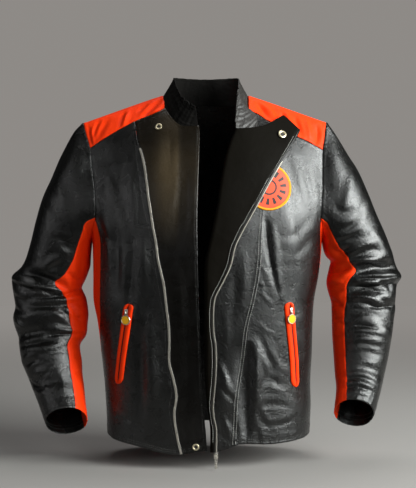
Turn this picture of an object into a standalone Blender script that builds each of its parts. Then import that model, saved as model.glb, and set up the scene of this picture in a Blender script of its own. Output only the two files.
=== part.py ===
"""Leather motorcycle jacket, worn open: hollow leather walls in the pose of a general figure.

Metres, +Z up. The front faces -Y and the wearer's left arm is at +X. The origin is the middle of
the neck opening, at the height of the shoulder ridge beside the neck.
"""

import math

import bmesh
import bpy
from mathutils import Vector
from mathutils.bvhtree import BVHTree

# ---------------------------------------------------------------- driving sizes
LEATHER = 0.0015        # thickness of one leather wall
COLLAR_LIFT = 0.0008    # the collar stands this far above the panels it is sewn on
DOUBLE_LEATHER = 0.0024  # collar: two layers and an interlining
SEAM = 0.0003           # gap between sewn pieces
SHOULDER_FALL = 0.356   # slope of the shoulder ridge
NECK_HALF = 0.078       # the ridge starts to fall this far from the middle
NAPE_RISE = 0.030       # the back stands this much higher at the nape
RIDGE_ROUND = 0.015     # rounding of the ridge where it leaves the neck

# Body rings. level: distance from the shoulder ridge, downwards negative. right, left: half
# widths. front, back: depths from the side seam plane. power: 2 is an ellipse, more is boxier.
BODY_COLUMNS = ("level", "right", "left", "front", "back", "power")
BODY = (
    (0.000, 0.245, 0.245, 0.000, 0.000, 2.40),
    (-0.010, 0.245, 0.245, 0.018, 0.018, 2.40),
    (-0.020, 0.245, 0.245, 0.028, 0.030, 2.40),
    (-0.040, 0.245, 0.245, 0.047, 0.050, 2.40),
    (-0.060, 0.245, 0.245, 0.062, 0.066, 2.40),
    (-0.090, 0.244, 0.244, 0.080, 0.084, 2.40),
    (-0.130, 0.243, 0.243, 0.100, 0.100, 2.40),
    (-0.180, 0.240, 0.241, 0.118, 0.112, 2.40),
    (-0.240, 0.228, 0.231, 0.130, 0.116, 2.42),
    (-0.276, 0.2185, 0.2245, 0.134, 0.115, 2.45),
    (-0.310, 0.2165, 0.2215, 0.136, 0.113, 2.50),
    (-0.350, 0.216, 0.2165, 0.136, 0.108, 2.55),
    (-0.395, 0.2155, 0.209, 0.135, 0.103, 2.60),
    (-0.435, 0.208, 0.2065, 0.134, 0.100, 2.65),
    (-0.500, 0.200, 0.205, 0.131, 0.100, 2.70),
    (-0.550, 0.195, 0.2025, 0.130, 0.103, 2.70),
    (-0.600, 0.192, 0.2035, 0.129, 0.107, 2.70),
    (-0.650, 0.190, 0.201, 0.128, 0.110, 2.70),
    (-0.690, 0.190, 0.200, 0.128, 0.111, 2.70),
)

# Seams on the fronts, as seen from the front: x across, z up.
RIGHT_ZIP_SEAM = (  # from the yoke to the hem; the zip is let into this seam
    (-0.134, -0.052), (-0.127, -0.090), (-0.116, -0.125), (-0.109, -0.167), (-0.103, -0.209),
    (-0.095, -0.257), (-0.088, -0.304), (-0.077, -0.355), (-0.069, -0.421), (-0.067, -0.458),
    (-0.067, -0.501), (-0.060, -0.529), (-0.054, -0.563), (-0.058, -0.598), (-0.052, -0.642),
    (-0.045, -0.673),
)
RIGHT_EDGE = (  # free edge of the right front
    (-0.013, -0.056), (-0.011, -0.073), (-0.012, -0.125), (-0.014, -0.187), (-0.015, -0.251),
    (-0.014, -0.314), (-0.012, -0.382), (-0.009, -0.453), (-0.005, -0.555), (-0.002, -0.598),
    (0.003, -0.666),
)
LEFT_ROLL = (  # where the left front is rolled back on itself
    (0.0625, -0.071), (0.051, -0.097), (0.047, -0.110), (0.0425, -0.125), (0.034, -0.167),
    (0.0275, -0.209), (0.019, -0.251), (0.0125, -0.282), (0.007, -0.308), (0.006, -0.386),
    (0.006, -0.465), (0.0065, -0.517), (0.009, -0.570), (0.0125, -0.598), (0.0155, -0.623),
    (0.0155, -0.664),
)
LEFT_EDGE = (  # free edge of the rolled-back left front, with the zip along it
    (0.1775, -0.073), (0.170, -0.086), (0.158, -0.103), (0.144, -0.125), (0.116, -0.170),
    (0.090, -0.216), (0.064, -0.262), (0.054, -0.284), (0.0455, -0.3185), (0.033, -0.346),
    (0.0185, -0.374), (0.0145, -0.395), (0.0145, -0.438), (0.0185, -0.468), (0.0185, -0.522),
    (0.0150, -0.561), (0.0135, -0.5825), (0.0150, -0.602), (0.0195, -0.624), (0.0195, -0.669),
)
LAPEL_TOP = (  # upper edge of the lapel, from the roll to its two corners
    (0.058, -0.071), (0.081, -0.070), (0.098, -0.067), (0.110, -0.064), (0.127, -0.056),
    (0.146, -0.045), (0.1775, -0.073),
)
LEFT_SEAM = (  # shaping seam of the left front
    (0.122, -0.054), (0.117, -0.106), (0.109, -0.180), (0.105, -0.220), (0.100, -0.304),
    (0.088, -0.383), (0.075, -0.4365), (0.0695, -0.490), (0.063, -0.533), (0.057, -0.576),
    (0.055, -0.626), (0.053, -0.653),
)
RIGHT_YOKE_SEAM = (  # front seam of the shoulder yoke, from the neck to the armhole
    (-0.077, -0.027), (-0.088, -0.033), (-0.105, -0.040), (-0.134, -0.052), (-0.162, -0.067),
    (-0.191, -0.084), (-0.2195, -0.103),
)
LEFT_YOKE_SEAM = (
    (0.082, -0.032), (0.097, -0.037), (0.111, -0.046), (0.127, -0.056), (0.1525, -0.070),
    (0.177, -0.082), (0.200, -0.093), (0.2235, -0.1065),
)
RIGHT_NECK_SEAM = (  # from the right front's free edge up to the yoke
    (-0.0135, -0.060), (-0.029, -0.061), (-0.044, -0.060), (-0.052, -0.056), (-0.0625, -0.0465),
    (-0.072, -0.034), (-0.077, -0.027),
)

# Armholes: how far out their edges lie at each level.
ARMHOLE_COLUMNS = ("level", "right_front", "left_front", "right_back", "left_back")
ARMHOLE = (
    (0.000, 0.2345, 0.2316, 0.2345, 0.2316),
    (-0.010, 0.2320, 0.2305, 0.2310, 0.2295),
    (-0.030, 0.2265, 0.2275, 0.2230, 0.2230),
    (-0.055, 0.2192, 0.2236, 0.2150, 0.2165),
    (-0.095, 0.2150, 0.2226, 0.2080, 0.2105),
    (-0.145, 0.2095, 0.2220, 0.2020, 0.2065),
    (-0.195, 0.2075, 0.2200, 0.1990, 0.2040),
    (-0.222, 0.2080, 0.2185, 0.1990, 0.2030),
    (-0.245, 0.2090, 0.2170, 0.2000, 0.2030),
)
ARMHOLE_CORNER = -0.222  # where the side panel's seams meet the armhole
ARMPIT = -0.276          # lowest level of the armhole
NECK_LATERAL = 15.6      # body angle of the yoke's neck end on the ridge, degrees
BACK_NECK = 11.5         # the same, at the yoke's back seam
LEFT_COLLAR_END = 19.2   # body angle where the left end of the collar is sewn on
LAPEL_CORNER, LAPEL_NOTCH = -0.0710, -0.0635  # levels where the left front turns in to the collar

# Levels of the rows along the roll, from the hem up, and the rows of LEFT_EDGE beside them.
ROLL_LEVELS = (
    -0.667, -0.624, -0.5825, -0.522, -0.468, -0.438, -0.395, -0.374, -0.346, -0.312, -0.278,
    -0.244, -0.208, -0.172, -0.137, -0.103, LAPEL_CORNER,
)
LAPEL_ROWS = (19, 18, 16, 14, 13, 12, 11, 10, 9, 8, 7, 6, 5, 4, 3, 2, 0)

# Rows of the grids. Neighbours have the same rows on their common seam, so that they don't cross.
ROWS_BELOW, ROWS_ABOVE = 12, 6  # below and above the corner of the armhole
ROWS = ROWS_BELOW + ROWS_ABOVE
YOKE_ROWS = 3            # from the ridge to each seam
SIDE_COLUMNS_COUNT, CENTRE_COLUMNS = 8, 4
NECK_PEAK = 4            # column of the right flap where the neck seam meets the yoke
RIGHT_YOKE_COLUMNS = NECK_PEAK + SIDE_COLUMNS_COUNT
LEFT_YOKE_COLUMNS = 1 + CENTRE_COLUMNS + SIDE_COLUMNS_COUNT
ARMPIT_COLUMNS = 5

BACK_YOKE = ((11.5, -0.032), (25.0, -0.056), (42.0, -0.070), (75.0, -0.080))  # lateral, level
BACK_NECK_LEVEL = ((0.0, -0.050), (6.0, -0.045), (11.5, -0.032))

# Side panels: body angles of their front and back seams at each level.
SIDE_COLUMNS = ("level", "right_front", "right_back", "left_front", "left_back")
SIDE_PANEL = (
    (-0.222, 60.5, 124.5, 67.0, 123.0),
    (-0.250, 61.5, 121.0, 70.0, 122.0),
    (-0.290, 63.0, 117.5, 78.0, 120.0),
    (-0.350, 64.0, 116.0, 86.0, 119.0),
    (-0.410, 66.0, 115.0, 90.0, 118.0),
    (-0.450, 76.0, 115.0, 91.0, 118.0),
    (-0.520, 86.0, 115.0, 92.0, 117.0),
    (-0.600, 89.0, 115.0, 92.0, 117.0),
    (-0.660, 90.0, 115.0, 92.0, 117.0),
)
HEM = (  # body angle, level
    (-180.0, -0.652), (-135.0, -0.652), (-90.0, -0.650), (-60.0, -0.655), (-35.0, -0.661),
    (-11.0, -0.674), (0.0, -0.667), (3.0, -0.667), (8.0, -0.660), (13.0, -0.654),
    (30.0, -0.656), (60.0, -0.653), (90.0, -0.650), (135.0, -0.652), (180.0, -0.652),
)

# Largest body folds, as seen from the front (or back): x and z of both ends, half width, height.
FOLD_COLUMNS = ("face", "x1", "z1", "x2", "z2", "half_width", "height")
BODY_FOLDS = (
    ("front", 0.070, -0.480, 0.076, -0.630, 0.011, -0.008),
    ("front", 0.094, -0.470, 0.092, -0.600, 0.016, 0.005),
    ("front", 0.112, -0.225, 0.145, -0.385, 0.011, -0.004),
    ("front", 0.132, -0.240, 0.172, -0.360, 0.020, 0.004),
    ("front", 0.150, -0.120, 0.185, -0.230, 0.020, -0.004),
    ("front", 0.040, -0.520, 0.034, -0.590, 0.016, 0.005),
    ("front", -0.160, -0.120, -0.145, -0.260, 0.022, 0.005),
    ("front", -0.190, -0.170, -0.135, -0.330, 0.016, -0.004),
    ("front", -0.115, -0.420, -0.105, -0.600, 0.022, 0.004),
    ("front", -0.045, -0.100, -0.060, -0.300, 0.018, -0.004),
    ("back", -0.150, -0.240, -0.060, -0.330, 0.020, -0.005),
    ("back", 0.150, -0.240, 0.060, -0.330, 0.020, -0.005),
    ("back", -0.140, -0.430, 0.140, -0.450, 0.022, -0.005),
    ("back", -0.110, -0.380, 0.120, -0.395, 0.018, 0.004),
)

# Sleeve sections from armhole to cuff. The outer and inner ends are the outline seen from the
# front; mid_y is the section's middle, front and back its depths, tilt how far its front rises.
SLEEVE_COLUMNS = ("outer_x", "outer_z", "inner_x", "inner_z", "mid_y", "front", "back", "tilt")
RIGHT_SLEEVE = (
    (0.2345, -0.0564, 0.2185, -0.2760, 0.004, 0.071, 0.074, 0),
    (0.2526, -0.0757, 0.2205, -0.2840, 0.004, 0.073, 0.076, 0),
    (0.2770, -0.1201, 0.2215, -0.2920, 0.005, 0.073, 0.075, 0),
    (0.2947, -0.1606, 0.2223, -0.3000, 0.006, 0.072, 0.073, 0),
    (0.3125, -0.1992, 0.2232, -0.3090, 0.007, 0.070, 0.071, 0),
    (0.3258, -0.2436, 0.2240, -0.3200, 0.008, 0.068, 0.069, 0),
    (0.3368, -0.2870, 0.2255, -0.3340, 0.009, 0.065, 0.066, 0),
    (0.3503, -0.3266, 0.2335, -0.3560, 0.010, 0.062, 0.062, 0),
    (0.3700, -0.3498, 0.2414, -0.3729, 0.011, 0.060, 0.060, 0),
    (0.3735, -0.3600, 0.2385, -0.3830, 0.011, 0.059, 0.058, 0),
    (0.3708, -0.3836, 0.2326, -0.3961, 0.009, 0.058, 0.056, 1),
    (0.3669, -0.4096, 0.2287, -0.4223, 0.006, 0.056, 0.054, 3),
    (0.3708, -0.4328, 0.2300, -0.4430, 0.002, 0.055, 0.053, 5),
    (0.3630, -0.4636, 0.2326, -0.4636, -0.002, 0.054, 0.052, 8),
    (0.3580, -0.4880, 0.2441, -0.4830, -0.008, 0.053, 0.051, 11),
    (0.3526, -0.5157, 0.2403, -0.5119, -0.015, 0.052, 0.050, 15),
    (0.3410, -0.5410, 0.2385, -0.5350, -0.025, 0.051, 0.048, 20),
    (0.3305, -0.5642, 0.2350, -0.5560, -0.035, 0.050, 0.047, 25),
    (0.3200, -0.5860, 0.2320, -0.5770, -0.047, 0.049, 0.046, 31),
    (0.3100, -0.6080, 0.2290, -0.5960, -0.060, 0.047, 0.045, 37),
    (0.3010, -0.6270, 0.2265, -0.6110, -0.074, 0.045, 0.044, 42),
)
LEFT_SLEEVE = (
    (0.2316, -0.0564, 0.2250, -0.2760, 0.004, 0.071, 0.074, 0),
    (0.2499, -0.0800, 0.2268, -0.2840, 0.004, 0.073, 0.076, 0),
    (0.2731, -0.1180, 0.2280, -0.2910, 0.005, 0.073, 0.075, 0),
    (0.2924, -0.1480, 0.2295, -0.2990, 0.006, 0.072, 0.073, 0),
    (0.3098, -0.1857, 0.2316, -0.3060, 0.007, 0.070, 0.071, 0),
    (0.3281, -0.2301, 0.2355, -0.3130, 0.008, 0.068, 0.069, 0),
    (0.3464, -0.2706, 0.2436, -0.3227, 0.009, 0.065, 0.066, 0),
    (0.3580, -0.3015, 0.2410, -0.3370, 0.010, 0.062, 0.062, 0),
    (0.3657, -0.3266, 0.2378, -0.3517, 0.011, 0.060, 0.060, 0),
    (0.3735, -0.3478, 0.2364, -0.3610, 0.011, 0.059, 0.058, 0),
    (0.3735, -0.3623, 0.2368, -0.3710, 0.010, 0.058, 0.056, 1),
    (0.3667, -0.3787, 0.2400, -0.3840, 0.007, 0.056, 0.055, 3),
    (0.3653, -0.4000, 0.2449, -0.4010, 0.003, 0.055, 0.053, 4),
    (0.3650, -0.4154, 0.2455, -0.4180, -0.001, 0.054, 0.052, 6),
    (0.3610, -0.4400, 0.2458, -0.4420, -0.007, 0.053, 0.051, 9),
    (0.3580, -0.4636, 0.2461, -0.4636, -0.013, 0.052, 0.050, 12),
    (0.3497, -0.5061, 0.2485, -0.5050, -0.023, 0.051, 0.048, 17),
    (0.3420, -0.5360, 0.2499, -0.5330, -0.034, 0.050, 0.047, 23),
    (0.3355, -0.5604, 0.2518, -0.5560, -0.045, 0.049, 0.046, 29),
    (0.3270, -0.5860, 0.2500, -0.5750, -0.058, 0.047, 0.045, 36),
    (0.3165, -0.6130, 0.2475, -0.5950, -0.072, 0.045, 0.044, 42),
)
SLEEVE_POWER = 2.2
SLEEVE_HEAD = (1.0, 0.70, 0.42, 0.20, 0.07)  # how much each of the first sections follows the armhole
# Where the under-sleeve panel is sewn in: section number, front seam and back seam angle.
UNDER_SLEEVE = (
    (0.0, 128.0, 230.0), (2.0, 124.0, 230.0), (5.0, 120.0, 228.0), (6.5, 112.0, 228.0),
    (7.6, 103.0, 228.0), (8.4, 112.0, 228.0), (9.5, 119.0, 228.0), (11.0, 120.0, 228.0),
    (13.0, 129.0, 228.0), (16.0, 128.0, 226.0), (20.0, 128.0, 226.0),
)
SLEEVE_STATIONS = (
    0, 1, 2, 3, 4, 5, 6, 7, 7.6, 8.1, 8.6, 9.1, 9.6, 10.1, 10.7, 11.4, 12.2, 13, 14, 15, 16, 17,
    18, 19, 20,
)
# Largest sleeve folds: section number, angle round the sleeve, half span in degrees, half
# height in sections, slant in sections per degree, height in metres.
SLEEVE_FOLD_COLUMNS = ("station", "angle", "span", "half", "slant", "height")
RIGHT_SLEEVE_FOLDS = (
    (7.3, 70, 60, 0.5, 0.006, -0.006),
    (8.3, 60, 70, 0.5, 0.006, 0.006),
    (9.3, 75, 60, 0.4, 0.004, -0.006),
    (10.3, 85, 55, 0.35, 0.0, -0.004),
    (11.4, 70, 60, 0.5, -0.004, 0.004),
    (12.9, 60, 70, 0.4, -0.006, -0.006),
    (14.6, 70, 60, 0.6, 0.006, 0.004),
    (17.0, 60, 60, 0.5, 0.006, -0.004),
    (8.0, 270, 60, 0.5, 0.0, 0.004),
    (9.6, 270, 60, 0.4, 0.0, -0.004),
)
LEFT_SLEEVE_FOLDS = (
    (6.9, 65, 60, 0.5, -0.004, 0.005),
    (7.9, 62, 48, 0.45, -0.006, -0.010),
    (9.0, 45, 55, 0.45, -0.004, 0.007),
    (10.1, 48, 55, 0.4, -0.004, -0.008),
    (11.4, 60, 60, 0.45, 0.002, 0.004),
    (12.6, 62, 60, 0.35, 0.004, -0.004),
    (15.0, 70, 60, 0.6, 0.006, 0.004),
    (17.2, 60, 60, 0.5, -0.006, -0.004),
    (8.0, 270, 60, 0.5, 0.0, 0.004),
    (9.6, 270, 60, 0.4, 0.0, -0.004),
)

# Collar: where its lower edge is sewn on (face, body angle, level), and its free upper edge.
COLLAR_COLUMNS = ("face", "angle", "level", "top_x", "top_y", "top_z")
COLLAR = (
    ("front", -1.9, -0.0600, -0.0190, -0.0660, -0.0240),
    ("front", -4.4, -0.0605, -0.0250, -0.0640, -0.0205),
    ("front", -7.3, -0.0596, -0.0320, -0.0600, -0.0160),
    ("front", -9.6, -0.0530, -0.0400, -0.0530, -0.0080),
    ("front", -12.0, -0.0400, -0.0480, -0.0420, 0.0010),
    ("front", -14.2, -0.0260, -0.0555, -0.0250, 0.0140),
    ("front", -14.9, -0.0080, -0.0590, -0.0080, 0.0260),
    ("front", -15.0, -0.0001, -0.0600, 0.0010, 0.0295),
    ("back", 14.1, -0.0080, -0.0600, 0.0100, 0.0310),
    ("back", 11.5, -0.0320, -0.0520, 0.0300, 0.0310),
    ("back", 7.0, -0.0440, -0.0330, 0.0430, 0.0300),
    ("back", 0.0, -0.0500, 0.0000, 0.0490, 0.0290),
    ("back", -7.0, -0.0440, 0.0340, 0.0430, 0.0300),
    ("back", -11.5, -0.0320, 0.0540, 0.0300, 0.0310),
    ("back", -14.1, -0.0080, 0.0625, 0.0100, 0.0300),
    ("front", 15.0, -0.0001, 0.0640, 0.0010, 0.0260),
    ("front", 14.9, -0.0080, 0.0640, -0.0080, 0.0200),
    ("front", 15.2, -0.0245, 0.0620, -0.0270, 0.0040),
    ("front", 17.4, -0.0290, 0.0600, -0.0420, -0.0130),
    ("front", 18.8, -0.0340, 0.0575, -0.0550, -0.0310),
    ("front", 19.0, -0.0450, 0.0565, -0.0670, -0.0480),
    ("front", 19.0, -0.0600, 0.0570, -0.0740, -0.0660),
)

PATCH_CENTRE, PATCH_RADIUS = (0.118, -0.1755), 0.0425
SNAPS = {"collar": (-0.088, -0.063), "hem": (-0.018, -0.6585)}
LAPEL_SNAP = (0.1425, -0.0795)
SNAP_RADIUS, SNAP_WIRE = 0.0052, 0.0016

ZIP_HALF, ZIP_CHAIN_HALF, ZIP_HEIGHT = 0.0030, 0.0015, 0.0022
LAPEL_ROLL = 0.0098     # height of the roll above the front
LAPEL_EDGE = 0.0071     # height of the lapel's free edge, over the zip
PATCH_FLOOR, PATCH_THICKNESS = 0.0010, 0.0012
LEFT_ZIP_END = -0.6675   # level of the left zip's lower end, where its slider hangs
LEFT_ZIP_FLOOR = 0.0029  # the left zip passes over the chest patch

POCKETS = {  # top and bottom of each slanted pocket, x and z seen from the front
    "right": ((-0.1430, -0.394), (-0.1640, -0.543)),
    "left": ((0.1570, -0.392), (0.1700, -0.549)),
}
WELT_OFFSET, WELT_HALF, WELT_HEIGHT = 0.0066, 0.0034, 0.0030
POCKET_ZIP_HALF, POCKET_ZIP_HEIGHT = 0.0028, 0.0020
SLIDER_SHARE = 0.085    # how far down the pocket its slider stands
SLIDER_SIZE = (0.0058, 0.0022, 0.0105)
FRONT_SLIDER_SIZE = (0.0080, 0.0035, 0.0124)
BAIL_RADIUS, BAIL_WIRE, BAIL_DROP = 0.0026, 0.0006, 0.0012
PULL_THICKNESS = 0.0012
PULL_NECK, PULL_SLOT = 0.0021, 0.0012  # half widths of a pull's neck and of the slot in it
PULL_BAR, SLOT_END = 0.0004, -0.0038   # half height of the bar over the slot; the slot's end
DISC_RADIUS = 0.0098
FRONT_PULL = (0.0026, 0.0230)          # half width and length of the front zip's pull

BLACK = (0.012, 0.011, 0.010)
ORANGE = (0.80, 0.075, 0.018)
YELLOW = (0.85, 0.46, 0.02)
STEEL = (0.62, 0.60, 0.55)
BRASS = (0.60, 0.48, 0.24)


# ---------------------------------------------------------------- tables and curves
def hermite(before, start, end, after, share):
    """A smooth value between start and end, on equally spaced neighbours."""
    rise, fall = (end - before) * 0.5, (after - start) * 0.5
    a, b = share * share, share * share * share
    return (
        start * (2 * b - 3 * a + 1)
        + rise * (b - 2 * a + share)
        + end * (3 * a - 2 * b)
        + fall * (b - a)
    )


class Line:
    """A smooth function through a table's rows, straight on past its ends."""

    def __init__(self, rows):
        self.rows = sorted(rows)

    def slope(self, index):
        first, last = max(0, index - 1), min(len(self.rows) - 1, index + 1)
        return (self.rows[last][1] - self.rows[first][1]) / (
            self.rows[last][0] - self.rows[first][0]
        )

    def __call__(self, where):
        rows = self.rows
        if where <= rows[0][0]:
            return rows[0][1]
        if where >= rows[-1][0]:
            return rows[-1][1]
        index = max(i for i in range(len(rows) - 1) if rows[i][0] <= where)
        width = rows[index + 1][0] - rows[index][0]
        t = (where - rows[index][0]) / width
        return (
            rows[index][1] * (2 * t**3 - 3 * t**2 + 1)
            + rows[index + 1][1] * (3 * t**2 - 2 * t**3)
            + width * self.slope(index) * (t**3 - 2 * t**2 + t)
            + width * self.slope(index + 1) * (t**3 - t**2)
        )


def columns_of(table, names, key, change=lambda value: value):
    """One Line for each named column of a table, against its key column."""
    k = names.index(key)
    return {
        name: Line([(change(row[k]), row[i]) for row in table])
        for i, name in enumerate(names)
        if i != k
    }


def ease(share):
    share = min(1.0, max(0.0, share))
    return share * share * (3 - 2 * share)


def signed_power(value, power):
    return math.copysign(abs(value) ** power, value)


# ---------------------------------------------------------------- the body's surface
def root_of(level):
    """Square root of the distance below the ridge: the shoulders are round in it."""
    return math.sqrt(max(0.0, -level))


BODY_LINES = columns_of(BODY, BODY_COLUMNS, "level", root_of)


def shoulder_drop(x, level):
    over = abs(x) - NECK_HALF
    over = (over + math.hypot(over, RIDGE_ROUND)) / 2
    return ease((level + 0.30) / 0.24) * SHOULDER_FALL * over


def nape(x, y, level):
    if y <= 0:
        return 0.0
    return NAPE_RISE * math.exp(-((x / 0.080) ** 2)) * ease(y / 0.055) * ease((level + 0.22) / 0.16)


def bare_body(angle, level):
    """The body's smooth surface: angle 0 is the middle of the front, 90 the wearer's left."""
    size = {name: line(root_of(level)) for name, line in BODY_LINES.items()}
    across, along = math.sin(math.radians(angle)), math.cos(math.radians(angle))
    half = size["left"] if across >= 0 else size["right"]
    depth = size["front"] if along >= 0 else size["back"]
    x = half * signed_power(across, 2 / size["power"])
    y = -depth * signed_power(along, 2 / size["power"])
    return Vector((x, y, level - shoulder_drop(x, level) + nape(x, y, level)))


def find_front(x, z, face="front"):
    """The body angle and level of the surface point seen at x and z."""
    level = z
    for _ in range(30):
        size = {name: line(root_of(level)) for name, line in BODY_LINES.items()}
        half = size["left"] if x >= 0 else size["right"]
        share = min(1.0, abs(x) / half) ** (size["power"] / 2)
        angle = math.copysign(math.degrees(math.asin(share)), x)
        if face == "back":
            angle = math.copysign(180 - abs(angle), x)
        y = bare_body(angle, level).y
        level = z + shoulder_drop(x, level) - nape(x, y, level)
    return angle, level


def fold_ends():
    ends = []
    for row in BODY_FOLDS:
        fold = dict(zip(FOLD_COLUMNS, row))
        start = bare_body(*find_front(fold["x1"], fold["z1"], fold["face"]))
        end = bare_body(*find_front(fold["x2"], fold["z2"], fold["face"]))
        ends.append((start, end, fold["half_width"], fold["height"]))
    return ends


FOLD_ENDS = fold_ends()


def body_fold(point):
    """How far the folds lift the surface at a point."""
    lift = 0.0
    for start, end, half_width, height in FOLD_ENDS:
        run = end - start
        share = min(1.0, max(0.0, (point - start).dot(run) / run.length_squared))
        aside = (point - start - run * share).length
        lift += height * math.exp(-((aside / half_width) ** 2)) * math.sin(math.pi * (0.12 + 0.76 * share))
    return lift


def body(angle, level, out=0.0):
    """A point that lies out above the leather's outer side, folds included."""
    point = bare_body(angle, level)
    step = 0.35
    across = bare_body(angle + step, level) - bare_body(angle - step, level)
    up = bare_body(angle, level + 0.002) - bare_body(angle, level - 0.002)
    normal = across.cross(up).normalized()
    return point + normal * (out + body_fold(point))


def angle_step(angle, level, distance):
    """How many degrees round the body a distance is."""
    return distance / (bare_body(angle + 0.5, level) - bare_body(angle - 0.5, level)).length


# ---------------------------------------------------------------- building the solids
def clear_scene():
    for item in list(bpy.data.objects):
        bpy.data.objects.remove(item, do_unlink=True)


def leather_paint(name, colour, roughness, metallic=0.0):
    paint = bpy.data.materials.new(name)
    paint.use_nodes = True
    shader = paint.node_tree.nodes["Principled BSDF"]
    shader.inputs["Base Color"].default_value = (*colour, 1.0)
    shader.inputs["Roughness"].default_value = roughness
    shader.inputs["Metallic"].default_value = metallic
    return paint


def make_object(name, bm, paint):
    """An object of its own for a finished mesh, in the jacket's collection."""
    bmesh.ops.triangulate(bm, faces=bm.faces, quad_method="SHORT_EDGE")
    bmesh.ops.recalc_face_normals(bm, faces=bm.faces)
    if bm.calc_volume(signed=True) < 0:
        bmesh.ops.reverse_faces(bm, faces=bm.faces)
    mesh = bpy.data.meshes.new(name)
    bm.to_mesh(mesh)
    bm.free()
    mesh.shade_smooth()
    mesh.set_sharp_from_angle(angle=math.radians(50))
    piece = bpy.data.objects.new(name, mesh)
    piece.data.materials.append(paint)
    JACKET.objects.link(piece)
    return piece


def make_wall(name, outer, inner, paint):
    """A closed leather wall: a flat grid is extruded and its two sides take these points."""
    rows, columns = len(outer) - 1, len(outer[0]) - 1
    bm = bmesh.new()
    bmesh.ops.create_grid(bm, x_segments=columns, y_segments=rows, size=0.5)
    raised = bmesh.ops.extrude_face_region(bm, geom=bm.faces[:])["geom"]
    raised = {item for item in raised if isinstance(item, bmesh.types.BMVert)}
    for vert in bm.verts:
        row, column = round((vert.co.y + 0.5) * rows), round((vert.co.x + 0.5) * columns)
        vert.co = (outer if vert in raised else inner)[row][column]
    return make_object(name, bm, paint)


def even(count):
    return [i / count for i in range(count + 1)]


def front_seam(rows):
    """A seam that runs down the front, as body angle against level."""
    return Line([find_front(x, z)[::-1] for x, z in rows])


def cross_seam(rows):
    """A seam that runs across the front, as level against body angle."""
    return Line([find_front(x, z) for x, z in rows])


def panel_places(left, right, bottom, top, across, left_levels=None, right_levels=None):
    """Body angle and level of every grid point of a panel, half a seam in from its edges.

    left, right: body angle of each side seam at a level. bottom, top: level at a body angle.
    The rows meet each side seam at the given levels, or evenly where none are given.
    """

    def shares(seam, levels):
        if not levels:
            return even(ROWS)
        ends = [(level, bottom(seam(level)), top(seam(level))) for level in levels]
        return [(level - low) / (high - low) for level, low, high in ends]

    left_shares, right_shares = shares(left, left_levels), shares(right, right_levels)
    places = []
    for left_share, right_share in zip(left_shares, right_shares):
        line = []
        for u in across:
            v = (1 - u) * left_share + u * right_share
            level = (1 - v) * -0.60 + v * -0.10
            for _ in range(25):
                angle = (1 - u) * left(level) + u * right(level)
                level = (1 - v) * bottom(angle) + v * top(angle)
            if u == 0 and left_levels:
                level = left_levels[len(places)]
                angle = left(level)
            if u == 1 and right_levels:
                level = right_levels[len(places)]
                angle = right(level)
            inset = angle_step(angle, level, SEAM / 2)
            angle += inset if u == 0 else -inset if u == 1 else 0
            if not places:
                level += SEAM / 2
            elif len(places) == len(left_shares) - 1:
                level -= SEAM / 2
            line.append((angle, level))
        places.append(line)
    return places


def make_points(places, point, deep=LEATHER):
    """Outer and inner points of a wall, from the places of its grid."""
    return (
        [[point(*place) for place in line] for line in places],
        [[point(*place, -deep) for place in line] for line in places],
    )


class Ground:
    """The outer side of finished pieces. What lies on them is made from its points, moved out."""

    def __init__(self, *pieces):
        self.trees = [
            BVHTree.FromPolygons(
                [vert.co for vert in piece.data.vertices],
                [face.vertices for face in piece.data.polygons],
            )
            for piece in pieces
        ]

    def lift(self, angle, level, out=0.0):
        for nudge in (0.0, 0.25, -0.25):
            point = body(angle + nudge, level)
            normal = (body(angle + nudge, level, 0.01) - point).normalized()
            reach = [tree.ray_cast(point + normal * 0.03, -normal, 0.05)[3] for tree in self.trees]
            reach = [distance for distance in reach if distance is not None]
            if reach:
                return body(angle, level, 0.03 - min(reach) + out)
        return body(angle, level, out)


# ---------------------------------------------------------------- seams of the body
HEM_LINE = Line(HEM)
ARMHOLE_LINES = columns_of(ARMHOLE, ARMHOLE_COLUMNS, "level", root_of)
SIDE_LINES = columns_of(SIDE_PANEL, SIDE_COLUMNS, "level")
BACK_YOKE_LINE, BACK_NECK_LINE = Line(BACK_YOKE), Line(BACK_NECK_LEVEL)
ZIP_LINE, EDGE_LINE = front_seam(RIGHT_ZIP_SEAM), front_seam(RIGHT_EDGE)
ROLL_LINE, LAPEL_EDGE_LINE = front_seam(LEFT_ROLL), front_seam(LEFT_EDGE)
LEFT_SEAM_LINE, LAPEL_TOP_LINE = front_seam(LEFT_SEAM), cross_seam(LAPEL_TOP)
YOKE_LINES = {
    "right": cross_seam(RIGHT_NECK_SEAM + RIGHT_YOKE_SEAM[1:]),
    "left": cross_seam(LEFT_YOKE_SEAM),
}
SIGNS = {"right": -1, "left": 1}


def armhole_lateral(level, side, face):
    """Angle from the front's (or back's) middle to the armhole's edge, at a level."""
    root = root_of(level)
    share = min(1.0, ARMHOLE_LINES[f"{side}_{face}"](root) / BODY_LINES[side](root))
    return math.degrees(math.asin(share ** (BODY_LINES["power"](root) / 2)))


def side_seam(side, face):
    """The outer seam of a front or back: the side panel's seam, then the armhole."""
    seam = SIDE_LINES[f"{side}_{face}"]

    def angle(level):
        lateral = armhole_lateral(max(level, -0.245), side, face)
        edge = lateral if face == "front" else 180 - lateral
        share = ease((level - ARMHOLE_CORNER + 0.02) / 0.02)
        return SIGNS[side] * ((1 - share) * seam(level) + share * edge)

    return angle


def side_levels(side, face, top):
    """Levels of the rows on a side seam, from the hem past the armhole's corner to the top."""
    seam = side_seam(side, face)
    start, end = HEM_LINE(seam(-0.65)), -0.07
    for _ in range(25):
        end = top(seam(end))
    below = [start + (ARMHOLE_CORNER - start) * i / ROWS_BELOW for i in range(ROWS_BELOW)]
    return below + [
        ARMHOLE_CORNER + (end - ARMHOLE_CORNER) * i / ROWS_ABOVE for i in range(ROWS_ABOVE + 1)
    ]


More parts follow.
